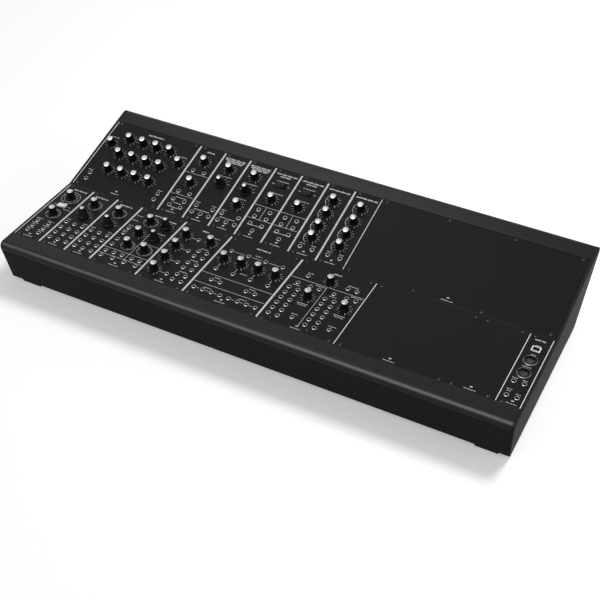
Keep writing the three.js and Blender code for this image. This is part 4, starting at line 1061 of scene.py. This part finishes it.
grey_nylon = grained("moulded_grey_nylon", "#424244", "#4e4e50", 0.5, 0.7, 0.03, specular=0.2)
shell = turned([
    (0, -CONNECTOR_DEPTH - 0.5), (DIN_SHELL[0] + 0.8, -CONNECTOR_DEPTH - 0.5), (DIN_SHELL[0] + 0.8, CLEAR),
    (DIN_SHELL[1], CLEAR), (DIN_SHELL[1], DIN_RISE - 0.25), (DIN_SHELL[1] - 0.15, DIN_RISE),
    (DIN_SHELL[0] + 0.15, DIN_RISE), (DIN_SHELL[0], DIN_RISE - 0.25), (DIN_SHELL[0], -CONNECTOR_DEPTH),
    (0, -CONNECTOR_DEPTH),
], 32)
inner_shell = turned([
    (DIN_KEY_RING[0], -CONNECTOR_DEPTH), (DIN_KEY_RING[1], -CONNECTOR_DEPTH), (DIN_KEY_RING[1], 0.3),
    (DIN_KEY_RING[0], 0.3), (DIN_KEY_RING[0], -CONNECTOR_DEPTH),
], 32)
stamp(shell, shape_of(inner_shell, "din_inner_shell"), Matrix.Identity(4))
# Painted shade: the shell's inner wall above the insulator, its floor and its inner ring get the dark
# nylon.
for face in shell.faces:
    middle = face.calc_center_median()
    if middle.z < DIN_RISE - 0.6 and middle.xy.length < DIN_SHELL[0] + 0.1:
        face.material_index = DARK
shell_shape = shape_of(shell, "din_shell")
insulator = bmesh.new()
ring(insulator, 0, 0, DIN_SHELL[0] - 0.05, 32)
for turn in range(5):
    angle = math.radians(180 + 45 * turn)
    ring(insulator, PIN_CIRCLE * math.cos(angle), PIN_CIRCLE * math.sin(angle), PIN_RADIUS, 10)
rectangle(insulator, 0, DIN_KEY_RING[0] - 2 * KEYWAY[1], *KEYWAY)
fill_and_raise(insulator, CONNECTOR_DEPTH + DIN_FACE - 0.1)
bmesh.ops.translate(insulator, verts=insulator.verts[:], vec=(0, 0, -CONNECTOR_DEPTH + 0.05))
insulator_shape = shape_of(insulator, "din_insulator")
port_shape = frame_shape(PORT_OUTER, PORT_INNER, -CONNECTOR_DEPTH, PORT_RISE, 0.3)
# Painted shade: the frame's inner walls get the dark nylon, as the recess of the port.
for face in port_shape.polygons:
    if abs(face.normal.z) < 0.3 and face.center.dot(face.normal) < 0:
        face.material_index = DARK
tongue = bmesh.new()
block(tongue, (-PORT_INNER[0], -PORT_INNER[1], -CONNECTOR_DEPTH - 0.4),
      (*PORT_INNER, -CONNECTOR_DEPTH + 0.2))
block(tongue, (-TONGUE[0], -TONGUE[1], -CONNECTOR_DEPTH + 0.1), (*TONGUE, -1.2))
soften(tongue, 0.2)
tongue_shape = shape_of(tongue, "port_tongue")

interface = modules["interface"]
shells, cores, frames = bmesh.new(), bmesh.new(), bmesh.new()
for x, y in interface["dins"]:
    stamp(shells, shell_shape, on_panel(interface, x, y))
    stamp(cores, insulator_shape, on_panel(interface, x, y))
for x, y in interface["ports"]:
    stamp(frames, port_shape, on_panel(interface, x, y))
    stamp(cores, tongue_shape, on_panel(interface, x, y))
piece("interface_shells", shells, [nickel, nylon])
piece("interface_port_frame", frames, [white_abs, nylon])
piece("interface_insulators", cores, [grey_nylon])


# Panel screws
# M3 button heads with a hexagon socket, black oxide steel, near the panels' long edges. They are slightly
# oily black, so only their domes catch the light.
SCREW_RADIUS = 2.6
SCREW_RISE = 1.5
HEX_RADIUS = 1.2
SCREW_END_INSET = 3
SCREW_SIDE_INSET = 7.5

black_oxide = grained("black_oxide_steel", "#363638", "#464648", 0.3, 0.5, 0.01, metallic=1.0)
screw = turned([
    (0, CLEAR), (SCREW_RADIUS, CLEAR), (SCREW_RADIUS, 0.35), (SCREW_RADIUS - 0.35, 0.95),
    (SCREW_RADIUS - 0.95, SCREW_RISE - 0.12), (HEX_RADIUS + 0.15, SCREW_RISE),
    (HEX_RADIUS, SCREW_RISE - 0.12), (HEX_RADIUS, 0.5), (0, 0.45),
], 12)
for vert in screw.verts:
    step = round(math.atan2(vert.co.y, vert.co.x) / (2 * math.pi) * 12)
    if 0.1 < vert.co.xy.length < HEX_RADIUS + 0.01 and step % 2:
        vert.co.x *= math.cos(math.radians(30))
        vert.co.y *= math.cos(math.radians(30))
screw_shape = shape_of(screw, "screw")
extra_columns = {"upper_blank": [97, 188, 277], "lower_narrow_blank": [52]}
for name, module in modules.items():
    columns = [SCREW_SIDE_INSET, *extra_columns.get(name, [])]
    if module["width"] > 12 * GRID and name not in extra_columns:
        columns.append(module["width"] - SCREW_SIDE_INSET)
    screws = bmesh.new()
    for x in columns:
        for y in (SCREW_END_INSET, PANEL_HEIGHT - SCREW_END_INSET):
            stamp(screws, screw_shape, on_panel(module, x, y))
    piece(f"{name}_screws", screws, [black_oxide])


# Printed marks
# White screen print, a twentieth of a millimetre thick: lines between the modules, scales round the knobs,
# dividers, and upright strokes and numerals where a panel is labelled.
INK = 0.05
INK_LIFT = 0.01  # of the ink's underside above the panel
EDGE_LINE = (0.55, 1.0)  # place from the panel's edge, and width
EDGE_LINE_END = 1.1
THIN = 0.42
DOT_RADIUS = 0.5
SCALE_RADIUS = 7.6
NUMERAL_OUT = 2.2  # from the dots to the middle of the numerals
DIAL_NUMERAL_IN = 2.1  # the same inwards from a dial's ring
HAIRLINE = 0.3
LABEL = 1.1  # height of a small label's strokes
TITLE = 2.2
TITLE_ROW = 113.5  # lettering above this is a title
NUMERAL = 1.9
POSITION_NUMERAL = 2.1  # at a rotary switch
WORD = 2.4
FULL_RING = 178  # clock angle at which a ring round a dial stops on either side
DIAL_START = 240  # angle of a dial's 0, anticlockwise from the right
DIAL_STEP = 30  # from one numeral to the next
TICKS = 3  # in each of these steps
SECOND_RING_IN = 4.2
TIME_ARC = (SCALE_RADIUS + 3.9, -145, -10)  # radius and ends of the arc at an envelope's knob
TIME_ARC_WIDTH = 0.5
SELECTOR_POSITIONS = 6
SELECTOR_START = 165  # angle of a rotary switch's first position
SELECTOR_DOTS = 10  # radius of the ring of dots
SELECTOR_DOT = 0.55
SELECTOR_NUMERALS = 12.6
FOOT_LINE = 3.7
FOOT_TITLE = 8.5

white_print = grained("white_panel_print", "#e8e8e6", "#f4f4f2", 0.6, 0.8, 0.01, specular=0.1)


def line(bm, start, end, width=THIN):
    """A printed line between two points of the panel."""
    start, end = Vector(start), Vector(end)
    along = end - start
    turn = Matrix.Rotation(math.atan2(along.y, along.x), 4, "Z")
    size = Matrix.Diagonal((along.length, width, INK, 1))
    middle = (start + end) / 2
    place = Matrix.Translation((*middle, INK / 2 + INK_LIFT))
    bmesh.ops.create_cube(bm, size=1, matrix=place @ turn @ size)


def words(bm, left, right, up, tall=LABEL):
    """Upright strokes of uneven height in groups, where the panel has a line of lettering."""
    pitch = 0.55 * tall
    for i in range(int((right - left) / pitch) + 1):
        if i % 7 != 6:
            x = left + i * pitch
            rise = tall * (0.5 if i % 3 else 0.32)
            line(bm, (x, up - tall * 0.5), (x, up + rise), 0.34 * tall)


def dot(bm, x, y, radius=DOT_RADIUS):
    bmesh.ops.create_cone(
        bm, cap_ends=True, segments=8, radius1=radius, radius2=radius, depth=INK,
        matrix=Matrix.Translation((x, y, INK / 2 + INK_LIFT)),
    )


def arc(bm, x, y, radius, start, end, width=THIN, steps=24):
    """A printed arc, from one clock angle in degrees to another, 0 at the top and growing to the right."""
    angle = math.radians(90 - start)
    across = Vector((math.cos(angle), math.sin(angle), 0))
    lift = Vector((0, 0, INK_LIFT))
    middle = Vector((x, y, 0))
    corners = [
        middle + across * (radius + side * width / 2) + lift + Vector((0, 0, high))
        for side, high in ((-1, 0), (1, 0), (1, INK), (-1, INK))
    ]
    end_face = bm.faces.new([bm.verts.new(corner) for corner in corners])
    bmesh.ops.spin(
        bm, geom=[end_face], cent=middle, axis=(0, 0, 1), angle=-math.radians(end - start), steps=steps
    )


letter_shapes = {}


def number(bm, text, x, y, size=NUMERAL):
    """A plain numeral or ON and OFF, centred on its place."""
    if text not in letter_shapes:
        curve = bpy.data.curves.new("letter", "FONT")
        curve.body, curve.size, curve.extrude, curve.resolution_u = text, 1, 0, 2
        curve.align_x, curve.align_y = "CENTER", "CENTER"
        holder = bpy.data.objects.new("letter", curve)
        bpy.context.scene.collection.objects.link(holder)
        flat = bpy.data.meshes.new_from_object(holder.evaluated_get(bpy.context.evaluated_depsgraph_get()))
        bpy.data.objects.remove(holder)
        solid = bmesh.new()
        solid.from_mesh(flat)
        raised(solid, solid.faces[:], (0, 0, INK))
        letter_shapes[text] = shape_of(solid, "letter")
    place = Matrix.Translation((x, y, INK_LIFT))
    stamp(bm, letter_shapes[text], place @ Matrix.Diagonal((size, size, 1, 1)))


def scale(bm, x, y, radius=SCALE_RADIUS, kind="dots"):
    """The eleven numerals round a knob, outside a row of dots or inside a dial's ticked ring."""
    for i in range(11):
        angle = math.radians(DIAL_START - DIAL_STEP * i)
        across = Vector((math.cos(angle), math.sin(angle)))
        reach = radius - DIAL_NUMERAL_IN if kind == "dial" else radius + NUMERAL_OUT
        number(bm, str(i), x + across.x * reach, y + across.y * reach)
        if kind == "dots":
            dot(bm, x + across.x * radius, y + across.y * radius)
    if kind == "dial":
        arc(bm, x, y, radius, -FULL_RING, FULL_RING, HAIRLINE, steps=40)
        for i in range(10 * TICKS + 1):
            angle = math.radians(DIAL_START - DIAL_STEP / TICKS * i)
            across = Vector((math.cos(angle), math.sin(angle)))
            start = Vector((x, y)) + across * radius
            line(bm, start, start - across * (0.6 if i % TICKS else 1.0), HAIRLINE)


# What is printed on each panel: rows of strokes (bars) as (left, right, up), lines as (x0, y0, x1, y1) and
# numerals as (text, x, y), in mm from the panel's lower left corner.
amplifier_marks = {
    "bars": [(5.5, 36, 119.9), (12.8, 28, 115.8), (11.4, 29.2, 107.6), (11, 31, 85), (8, 33, 24)],
    "lines": [(2, 58.6, 38.6, 58.6), (2, 35.1, 38.6, 35.1), (20.3, 35.1, 20.3, 58.6)],
    "numbers": [("OFF", 8.6, 100.6), ("ON", 31.6, 100.6)],
}
envelope_marks = {"bars": [(5.3, 35.7, 119.8), (8.5, 16, 20.9), (25.6, 32, 20.9)]}
oscillator_marks = {"bars": [(9.2, 29, 119.7), (3.5, 10, 59.3), (30.5, 37, 59.3)]}
marks = {
    "filter_bank": {"bars": [(57.8, 83.3, 119.6), (7, 19, 98.6), (123.5, 134, 98.6), (8.1, 15.7, 31.8),
                             (125, 132, 31.8)]},
    "noise_source": {
        "bars": [(14.6, 25.5, 120), (13.4, 29.7, 30.9), (15, 26.9, 20.6), (14.5, 27, 12.3)],
        "lines": [(2, 77, 38.6, 77), (2, 35.8, 38.6, 35.8)],
    },
    "high_pass_filter": {
        "bars": [(4.3, 35.5, 120.2), (6, 34, 117.2), (9.2, 33, 114.2), (9, 31, 87.7), (7.5, 31, 21),
                 (4, 11, 33.4), (29.5, 36, 33.4)],
    },
    "low_pass_filter": {
        "bars": [(4.3, 35.5, 120.2), (6, 34, 117.2), (9.2, 33, 114.2), (9, 31, 87.7), (12, 28.5, 59.2),
                 (7.5, 31, 21), (4, 11, 33.4)],
    },
    "first_amplifier": amplifier_marks,
    "second_amplifier": amplifier_marks,
    "first_envelope": envelope_marks,
    "second_envelope": envelope_marks,
    "oscillator_driver": {
        "bars": [(12.7, 34.4, 119.9), (26, 37, 74.2),
                 *[(x, x + 10, up) for x in (6.4, 24.2) for up in (42.7, 31.7, 20.7)]],
        "numbers": [("OFF", 9.2, 80), ("ON", 31.4, 80)],
    },
    "first_oscillator": oscillator_marks,
    "second_oscillator": oscillator_marks,
    "voltage_oscillator": {
        "bars": [(25.9, 37, 120.4), (3.5, 13, 109.5), (3.5, 12, 98.5), (46, 62, 116.9), (46, 62, 87.4),
                 (5, 12, 86.4), (5, 12, 73)],
        "lines": [(2, 32.6, 69.1, 32.6), (2, 19.5, 69.1, 19.5), (41.5, 19.5, 41.5, 88),
                  (41.5, 60.5, 69.1, 60.5)],
    },
    "mixer": {
        "bars": [(30.6, 40, 120.3), (47, 61, 113.4), (48, 59, 86.2), (48, 59, 59.6), (48, 59, 33)],
        "lines": [(23.5, up, 31.3, up) for up in channels],
        "numbers": [(str(4 - i), 6.2, up) for i, up in enumerate(channels)],
    },
    "attenuator": {
        "bars": [(42.9, 62.8, 119.9), (48.6, 58, 106), (48.2, 58.2, 64.7), (23.2, 32, 43.1), (74, 83, 43.1),
                 (21, 31, 20.6), (72, 82, 20.6)],
        "lines": [(2, 47.2, 104.7, 47.2), (2, 26.6, 104.7, 26.6)]
        + [(12.9 + 12.7 * i, SOCKET_BASE, 16.5 + 12.7 * i, SOCKET_BASE) for i in (0, 1, 2, 4, 5, 6)]
        + [(x, SOCKET_BASE + 2 * SOCKET_STEP, x + 3.6, SOCKET_BASE + 2 * SOCKET_STEP) for x in (25.8, 76.6)]
        + [(20.1 + 25.4 * i, KNOB_ROW, 35.5 + 25.4 * i, KNOB_ROW) for i in (0, 1, 2)]
        + [(53.34 + x, 64.3, 53.34 + x, 70.8) for x in attenuator_columns],
    },
    "controller": {
        "bars": [(49.8, 60.4, 119.7), (19, 27, 106.6), (76, 90, 106.8), (12, 22, 77.6), (63, 73, 77.6),
                 (32, 47, 49.3), (34, 46, 46.2), (83, 98, 49.3), (85, 97, 46.2), (36, 45, 27),
                 (87, 97, 27), (38, 52, 89), (88, 102, 89)],
        "lines": [(2, 91.6, 104.7, 91.6), (53.3, 9.5, 53.3, 91.6)],
        "numbers": [("1", 16.1, 8.4), ("2", 66.9, 8.4)],
    },
    "interface": {
        "bars": [(9.2, 21.4, 120), (12.8, 19, 110), (12.6, 18.6, 92.3), (9.6, 20.6, 69.5),
                 (5.5, 12.5, 46), (18, 24, 46), (6, 12.4, 25.8), (6.6, 12, 22.6), (18.5, 24, 20.8)],
    },
}
foot_marks = {
    "filter_bank": (63.6, 76.6), "upper_blank": (134.2, 149.5), "voltage_oscillator": (27.7, 42.5),
    "mixer": (27.7, 42.2), "attenuator": (45.5, 60.2), "controller": (45.8, 59.7),
    "lower_wide_blank": (63, 77.5), "lower_narrow_blank": (22.4, 36.9), "interface": (12.3, 25.2),
}
DEFAULT_FOOT = (12.6, 27)
WIDE_DIAL = 12  # a dial above this radius has a second ring inside its numerals
dial_sizes = {
    ("oscillator_driver", 0): 13.4, ("oscillator_driver", 1): 10.2, ("first_oscillator", 0): 9.8,
    ("second_oscillator", 0): 9.8, ("voltage_oscillator", 0): 9.9, ("voltage_oscillator", 2): 9.3,
    ("voltage_oscillator", 3): 10.3,
}

for name, module in modules.items():
    printed = bmesh.new()
    width = module["width"]
    for side in (-1, 1):
        if module["sockets"]:
            x = width / 2 + side * (width / 2 - PANEL_PLAY / 2 - EDGE_LINE[0])
            line(printed, (x, EDGE_LINE_END), (x, PANEL_HEIGHT - EDGE_LINE_END), EDGE_LINE[1])
    for i, (x, y) in enumerate(module["knobs"] + module["fixed_knobs"]):
        if (name, i) in dial_sizes:
            radius = dial_sizes[name, i]
            scale(printed, x, y, radius, "dial")
            if radius > WIDE_DIAL:
                arc(printed, x, y, radius - SECOND_RING_IN, -FULL_RING, FULL_RING, HAIRLINE, steps=40)
        else:
            scale(printed, x, y)
    for x, y in module["selectors"]:
        for i in range(SELECTOR_POSITIONS):
            angle = math.radians(SELECTOR_START - DIAL_STEP * i)
            across, up = math.cos(angle), math.sin(angle)
            dot(printed, x + SELECTOR_DOTS * across, y + SELECTOR_DOTS * up, SELECTOR_DOT)
            if name != "voltage_oscillator":
                spot = (x + SELECTOR_NUMERALS * across, y + SELECTOR_NUMERALS * up)
                number(printed, str(i + 1), *spot, POSITION_NUMERAL)
    if "envelope" in name:
        for x, y in module["fixed_knobs"]:
            arc(printed, x, y, *TIME_ARC, TIME_ARC_WIDTH)
    drawn = marks.get(name, {})
    for left, right, up in drawn.get("bars", []):
        words(printed, left, right, up, TITLE if up > TITLE_ROW else LABEL)
    for x0, y0, x1, y1 in drawn.get("lines", []):
        line(printed, (x0, y0), (x1, y1))
    for text, x, y in drawn.get("numbers", []):
        number(printed, text, x, y, WORD)
    left, right = foot_marks.get(name, DEFAULT_FOOT)
    words(printed, left, right, FOOT_LINE)
    words(printed, (left + right) / 2 - 1.3, (left + right) / 2 + 1.4, FOOT_TITLE, TITLE)
    bmesh.ops.transform(printed, matrix=module["place"], verts=printed.verts[:])
    bmesh.ops.recalc_face_normals(printed, faces=printed.faces[:])
    piece(f"{name}_print", printed, [white_print])


# Power entry
# A nylon plate screwed over the opening in the back wall, with a barrel inlet and its pin, and a black
# rocker as the power switch. The housings behind it go through the wall.
ENTRY_PLATE = (23.0, 11.0)
ENTRY_BODY = (19.7, 7.7)
ENTRY_SPREAD = 21
INLET_RADIUS = 4.2
INLET_BORE = 2.8
INLET_RISE = 1
INLET_BACK = -4.3
PIN = 1.0
PIN_BACK = -8.3
ENTRY_SCREW = (20.7, 8.7)
ENTRY_SCREW_SCALE = 0.6  # of a panel screw
ENTRY_WORD = 2.6

entry_face = entry_place @ Matrix.Translation((0, 0, SEAT_GAP + PANEL_THICKNESS))
inlet_x, switch_x = -ENTRY_SPREAD / 2, ENTRY_SPREAD / 2
plate = bmesh.new()
corners = rectangle(plate, 0, 0, *ENTRY_PLATE)
outer = [Vector(corner.co.xy) for corner in corners]
ring(plate, inlet_x, 0, INLET_RADIUS, 24)
rectangle(plate, switch_x, 0, *ROCKER_WINDOW)
thicken(plate, -PANEL_THICKNESS, 0.5, outer)
entry_layers = (  # low and high, then whether the inlet's bore and the rocker's pocket go through
    (POCKET_FLOOR, -PANEL_THICKNESS - CLEAR, True, True),
    (-CONNECTOR_DEPTH, POCKET_FLOOR - CLEAR, True, False),
    (-BODY_DEPTH, -CONNECTOR_DEPTH - CLEAR, False, False),
)
for low, high, bored, pocketed in entry_layers:
    layer = bmesh.new()
    rectangle(layer, 0, 0, *ENTRY_BODY, low)
    if bored:
        ring(layer, inlet_x, 0, INLET_BORE, 24, low)
    if pocketed:
        rectangle(layer, switch_x, 0, *ROCKER_WINDOW, low)
    fill_and_raise(layer, high - low)
    stamp(plate, shape_of(layer, "entry_body"), Matrix.Identity(4))
stamp(plate, bezel_mesh, Matrix.Translation((switch_x, 0, 0)))
bmesh.ops.transform(plate, matrix=entry_face, verts=plate.verts[:])
piece("power_entry_plate", plate, [nylon], stands_for=["power_entry"])

inlet = turned([
    (INLET_BORE, INLET_BACK), (INLET_RADIUS - CLEAR, INLET_BACK), (INLET_RADIUS - CLEAR, INLET_RISE - 0.3),
    (INLET_RADIUS - 0.3, INLET_RISE), (INLET_BORE + 0.25, INLET_RISE), (INLET_BORE, INLET_RISE - 0.25),
    (INLET_BORE, INLET_BACK),
], 32)
pin = turned([(0, PIN_BACK), (PIN, PIN_BACK), (PIN, -0.4), (PIN - 0.35, -0.05), (0, 0)], 16)
stamp(inlet, shape_of(pin, "inlet_pin"), Matrix.Identity(4))
bmesh.ops.transform(inlet, matrix=entry_face @ Matrix.Translation((inlet_x, 0, 0)), verts=inlet.verts[:])
piece("power_inlet", inlet, [nickel])

entry_screws, entry_print = bmesh.new(), bmesh.new()
for x in (-ENTRY_SCREW[0], ENTRY_SCREW[0]):
    for y in (-ENTRY_SCREW[1], ENTRY_SCREW[1]):
        place = entry_face @ Matrix.Translation((x, y, 0))
        stamp(entry_screws, screw_shape, place @ Matrix.Scale(ENTRY_SCREW_SCALE, 4))
piece("power_entry_screws", entry_screws, [black_oxide])
for label, x in (("ON", switch_x + 4.5), ("OFF", switch_x - 4.5)):
    number(entry_print, label, -x, 8, ENTRY_WORD)
upright = Matrix.Rotation(math.pi, 4, "Z")
bmesh.ops.transform(entry_print, matrix=entry_face @ upright, verts=entry_print.verts[:])
piece("power_entry_print", entry_print, [white_print])

switch = bmesh.new()
stamp(switch, rocker_mesh, entry_face @ Matrix.Translation((switch_x, 0, 0)) @ pivot)
piece("power_rocker_key", switch, [black_abs], "power_rocker", ["power_rocker"])


# Floor, light and camera
# A white table and one lamp behind for the soft shadow, a pale room whose window and skylight the covers
# mirror, and the photograph's standpoint in front of the right end, looking down at the rows.
FLOOR_HALF = 6.0
FLOOR_GLOW = 0.33  # what the table adds of its own where the camera sees it
FLOOR_MIRRORED = 0.32  # the same where a finish mirrors it
ROOM_FILL = 0.25  # the room's light on everything


def ray_kinds(tree):
    """Whether a ray comes from the camera, and whether a finish mirrors it."""
    rays = add(tree, "ShaderNodeLightPath")
    kinds = {0: rays.outputs["Is Glossy Ray"], 1: rays.outputs["Is Transmission Ray"]}
    return rays.outputs["Is Camera Ray"], add(tree, "ShaderNodeMath", kinds, operation="MAXIMUM").outputs[0]


floor_mesh = bmesh.new()
bmesh.ops.create_grid(floor_mesh, x_segments=1, y_segments=1, size=FLOOR_HALF / MM)
floor_material, tree = new_material("white_laminate_table")
place = add(tree, "ShaderNodeTexCoord").outputs["Object"]
mottle = add(tree, "ShaderNodeTexNoise", {"Vector": place, "Scale": 1 / (3 * MM), "Detail": 2.0})
# The table is white to the camera and grey in the light it gives back, so the case's walls stay dark.
pale = add(tree, "ShaderNodeMix", {0: mottle.outputs["Fac"], 6: linear("#f4f4f4"), 7: linear("#fcfcfc")},
           data_type="RGBA")
grey = add(tree, "ShaderNodeMix", {0: mottle.outputs["Fac"], 6: linear("#909090"), 7: linear("#969696")},
           data_type="RGBA")
to_camera = add(tree, "ShaderNodeBsdfDiffuse", {"Color": pale.outputs[2]})
to_object = add(tree, "ShaderNodeBsdfDiffuse", {"Color": grey.outputs[2]})
by_camera, mirrored = ray_kinds(tree)
laminate = add(tree, "ShaderNodeMixShader", {
    0: by_camera, 1: to_object.outputs[0], 2: to_camera.outputs[0],
})
mirror_glow = add(tree, "ShaderNodeMath", {0: mirrored, 1: FLOOR_MIRRORED}, operation="MULTIPLY")
glow_level = add(tree, "ShaderNodeMath", {0: by_camera, 1: FLOOR_GLOW, 2: mirror_glow.outputs[0]},
                 operation="MULTIPLY_ADD")
glow = add(tree, "ShaderNodeEmission", {"Strength": glow_level.outputs[0]})
table_light = add(tree, "ShaderNodeAddShader", {0: laminate.outputs[0], 1: glow.outputs[0]})
add(tree, "ShaderNodeOutputMaterial", {"Surface": table_light.outputs[0]})
bmesh.ops.scale(floor_mesh, vec=(MM, MM, MM), verts=floor_mesh.verts[:])
floor = bpy.data.objects.new("table_top", shape_of(floor_mesh, "table_top"))
floor.data.materials.append(floor_material)
bpy.context.scene.collection.objects.link(floor)

world = bpy.data.worlds.new("pale_room")
bpy.context.scene.world = world
world.use_nodes = True
room = world.node_tree
room.nodes.clear()
by_camera, mirrored = ray_kinds(room)
direction = add(room, "ShaderNodeTexCoord").outputs["Generated"]
height = add(room, "ShaderNodeSeparateXYZ", {0: direction}).outputs["Z"]
ceiling = add(room, "ShaderNodeMapRange", {
    "Value": height, "From Min": 0.3, "From Max": 0.78, "To Min": 1.0, "To Max": 0.3,
})
window_way = add(room, "ShaderNodeVectorMath", {0: direction, 1: (-0.2, -0.5, 0.84)},
                 operation="DOT_PRODUCT")
window = add(room, "ShaderNodeMapRange", {
    "Value": window_way.outputs["Value"], "From Min": 0.82, "From Max": 1.0, "To Min": 0.0, "To Max": 6.5,
})
skylight_way = add(room, "ShaderNodeVectorMath", {0: direction, 1: (-0.34, 0.38, 0.86)},
                   operation="DOT_PRODUCT")
skylight = add(room, "ShaderNodeMapRange", {
    "Value": skylight_way.outputs["Value"], "From Min": 0.988, "From Max": 1.0, "To Min": 0.0,
    "To Max": 3.2,
})
both = add(room, "ShaderNodeMath", {0: skylight.outputs[0], 1: window.outputs[0]}, operation="ADD")
above = add(room, "ShaderNodeMath", {0: ceiling.outputs[0], 1: both.outputs[0]}, operation="ADD")
lit = add(room, "ShaderNodeMix", {0: mirrored, 2: ROOM_FILL, 3: above.outputs[0]})
brightness = add(room, "ShaderNodeMix", {0: by_camera, 2: lit.outputs[0], 3: 1.0})
sky = add(room, "ShaderNodeBackground", {"Color": linear("#ffffff"), "Strength": brightness.outputs[0]})
add(room, "ShaderNodeOutputWorld", {"Surface": sky.outputs[0]})


def softbox(name, place, target, wide, tall, power):
    """A soft lamp that faces a point."""
    lamp = bpy.data.lights.new(name, "AREA")
    lamp.shape, lamp.size, lamp.size_y, lamp.energy = "RECTANGLE", wide, tall, power
    holder = bpy.data.objects.new(name, lamp)
    holder.location = place
    holder.rotation_mode = "QUATERNION"
    holder.rotation_quaternion = (Vector(target) - Vector(place)).to_track_quat("-Z", "Y")
    bpy.context.scene.collection.objects.link(holder)
    return holder


back_softbox = softbox("back_softbox", (0.7, 1.1, 2.5), (0, 0, 0.05), 0.8, 0.8, 41)
back_softbox.visible_glossy = False
softbox("front_strip", (-0.8, -1.85, 1.75), (-0.8, 0, 0.05), 2.8, 0.45, 7)
softbox("right_softbox", (2.4, 0.1, 1.3), (0, 0, 0.05), 1.2, 1.2, 5.5)

camera = bpy.data.cameras.new("camera")
camera.sensor_width, camera.lens = 36, 67.8
viewer = bpy.data.objects.new("camera", camera)
viewer.matrix_world = Matrix((
    (0.8887, -0.3003, 0.3465, 0.5392),
    (0.4586, 0.5784, -0.6747, -1.0299),
    (0.0022, 0.7585, 0.6517, 0.9904),
    (0, 0, 0, 1),
))
bpy.context.scene.collection.objects.link(viewer)
bpy.context.scene.camera = viewer
bpy.context.scene.view_settings.view_transform = "Standard"
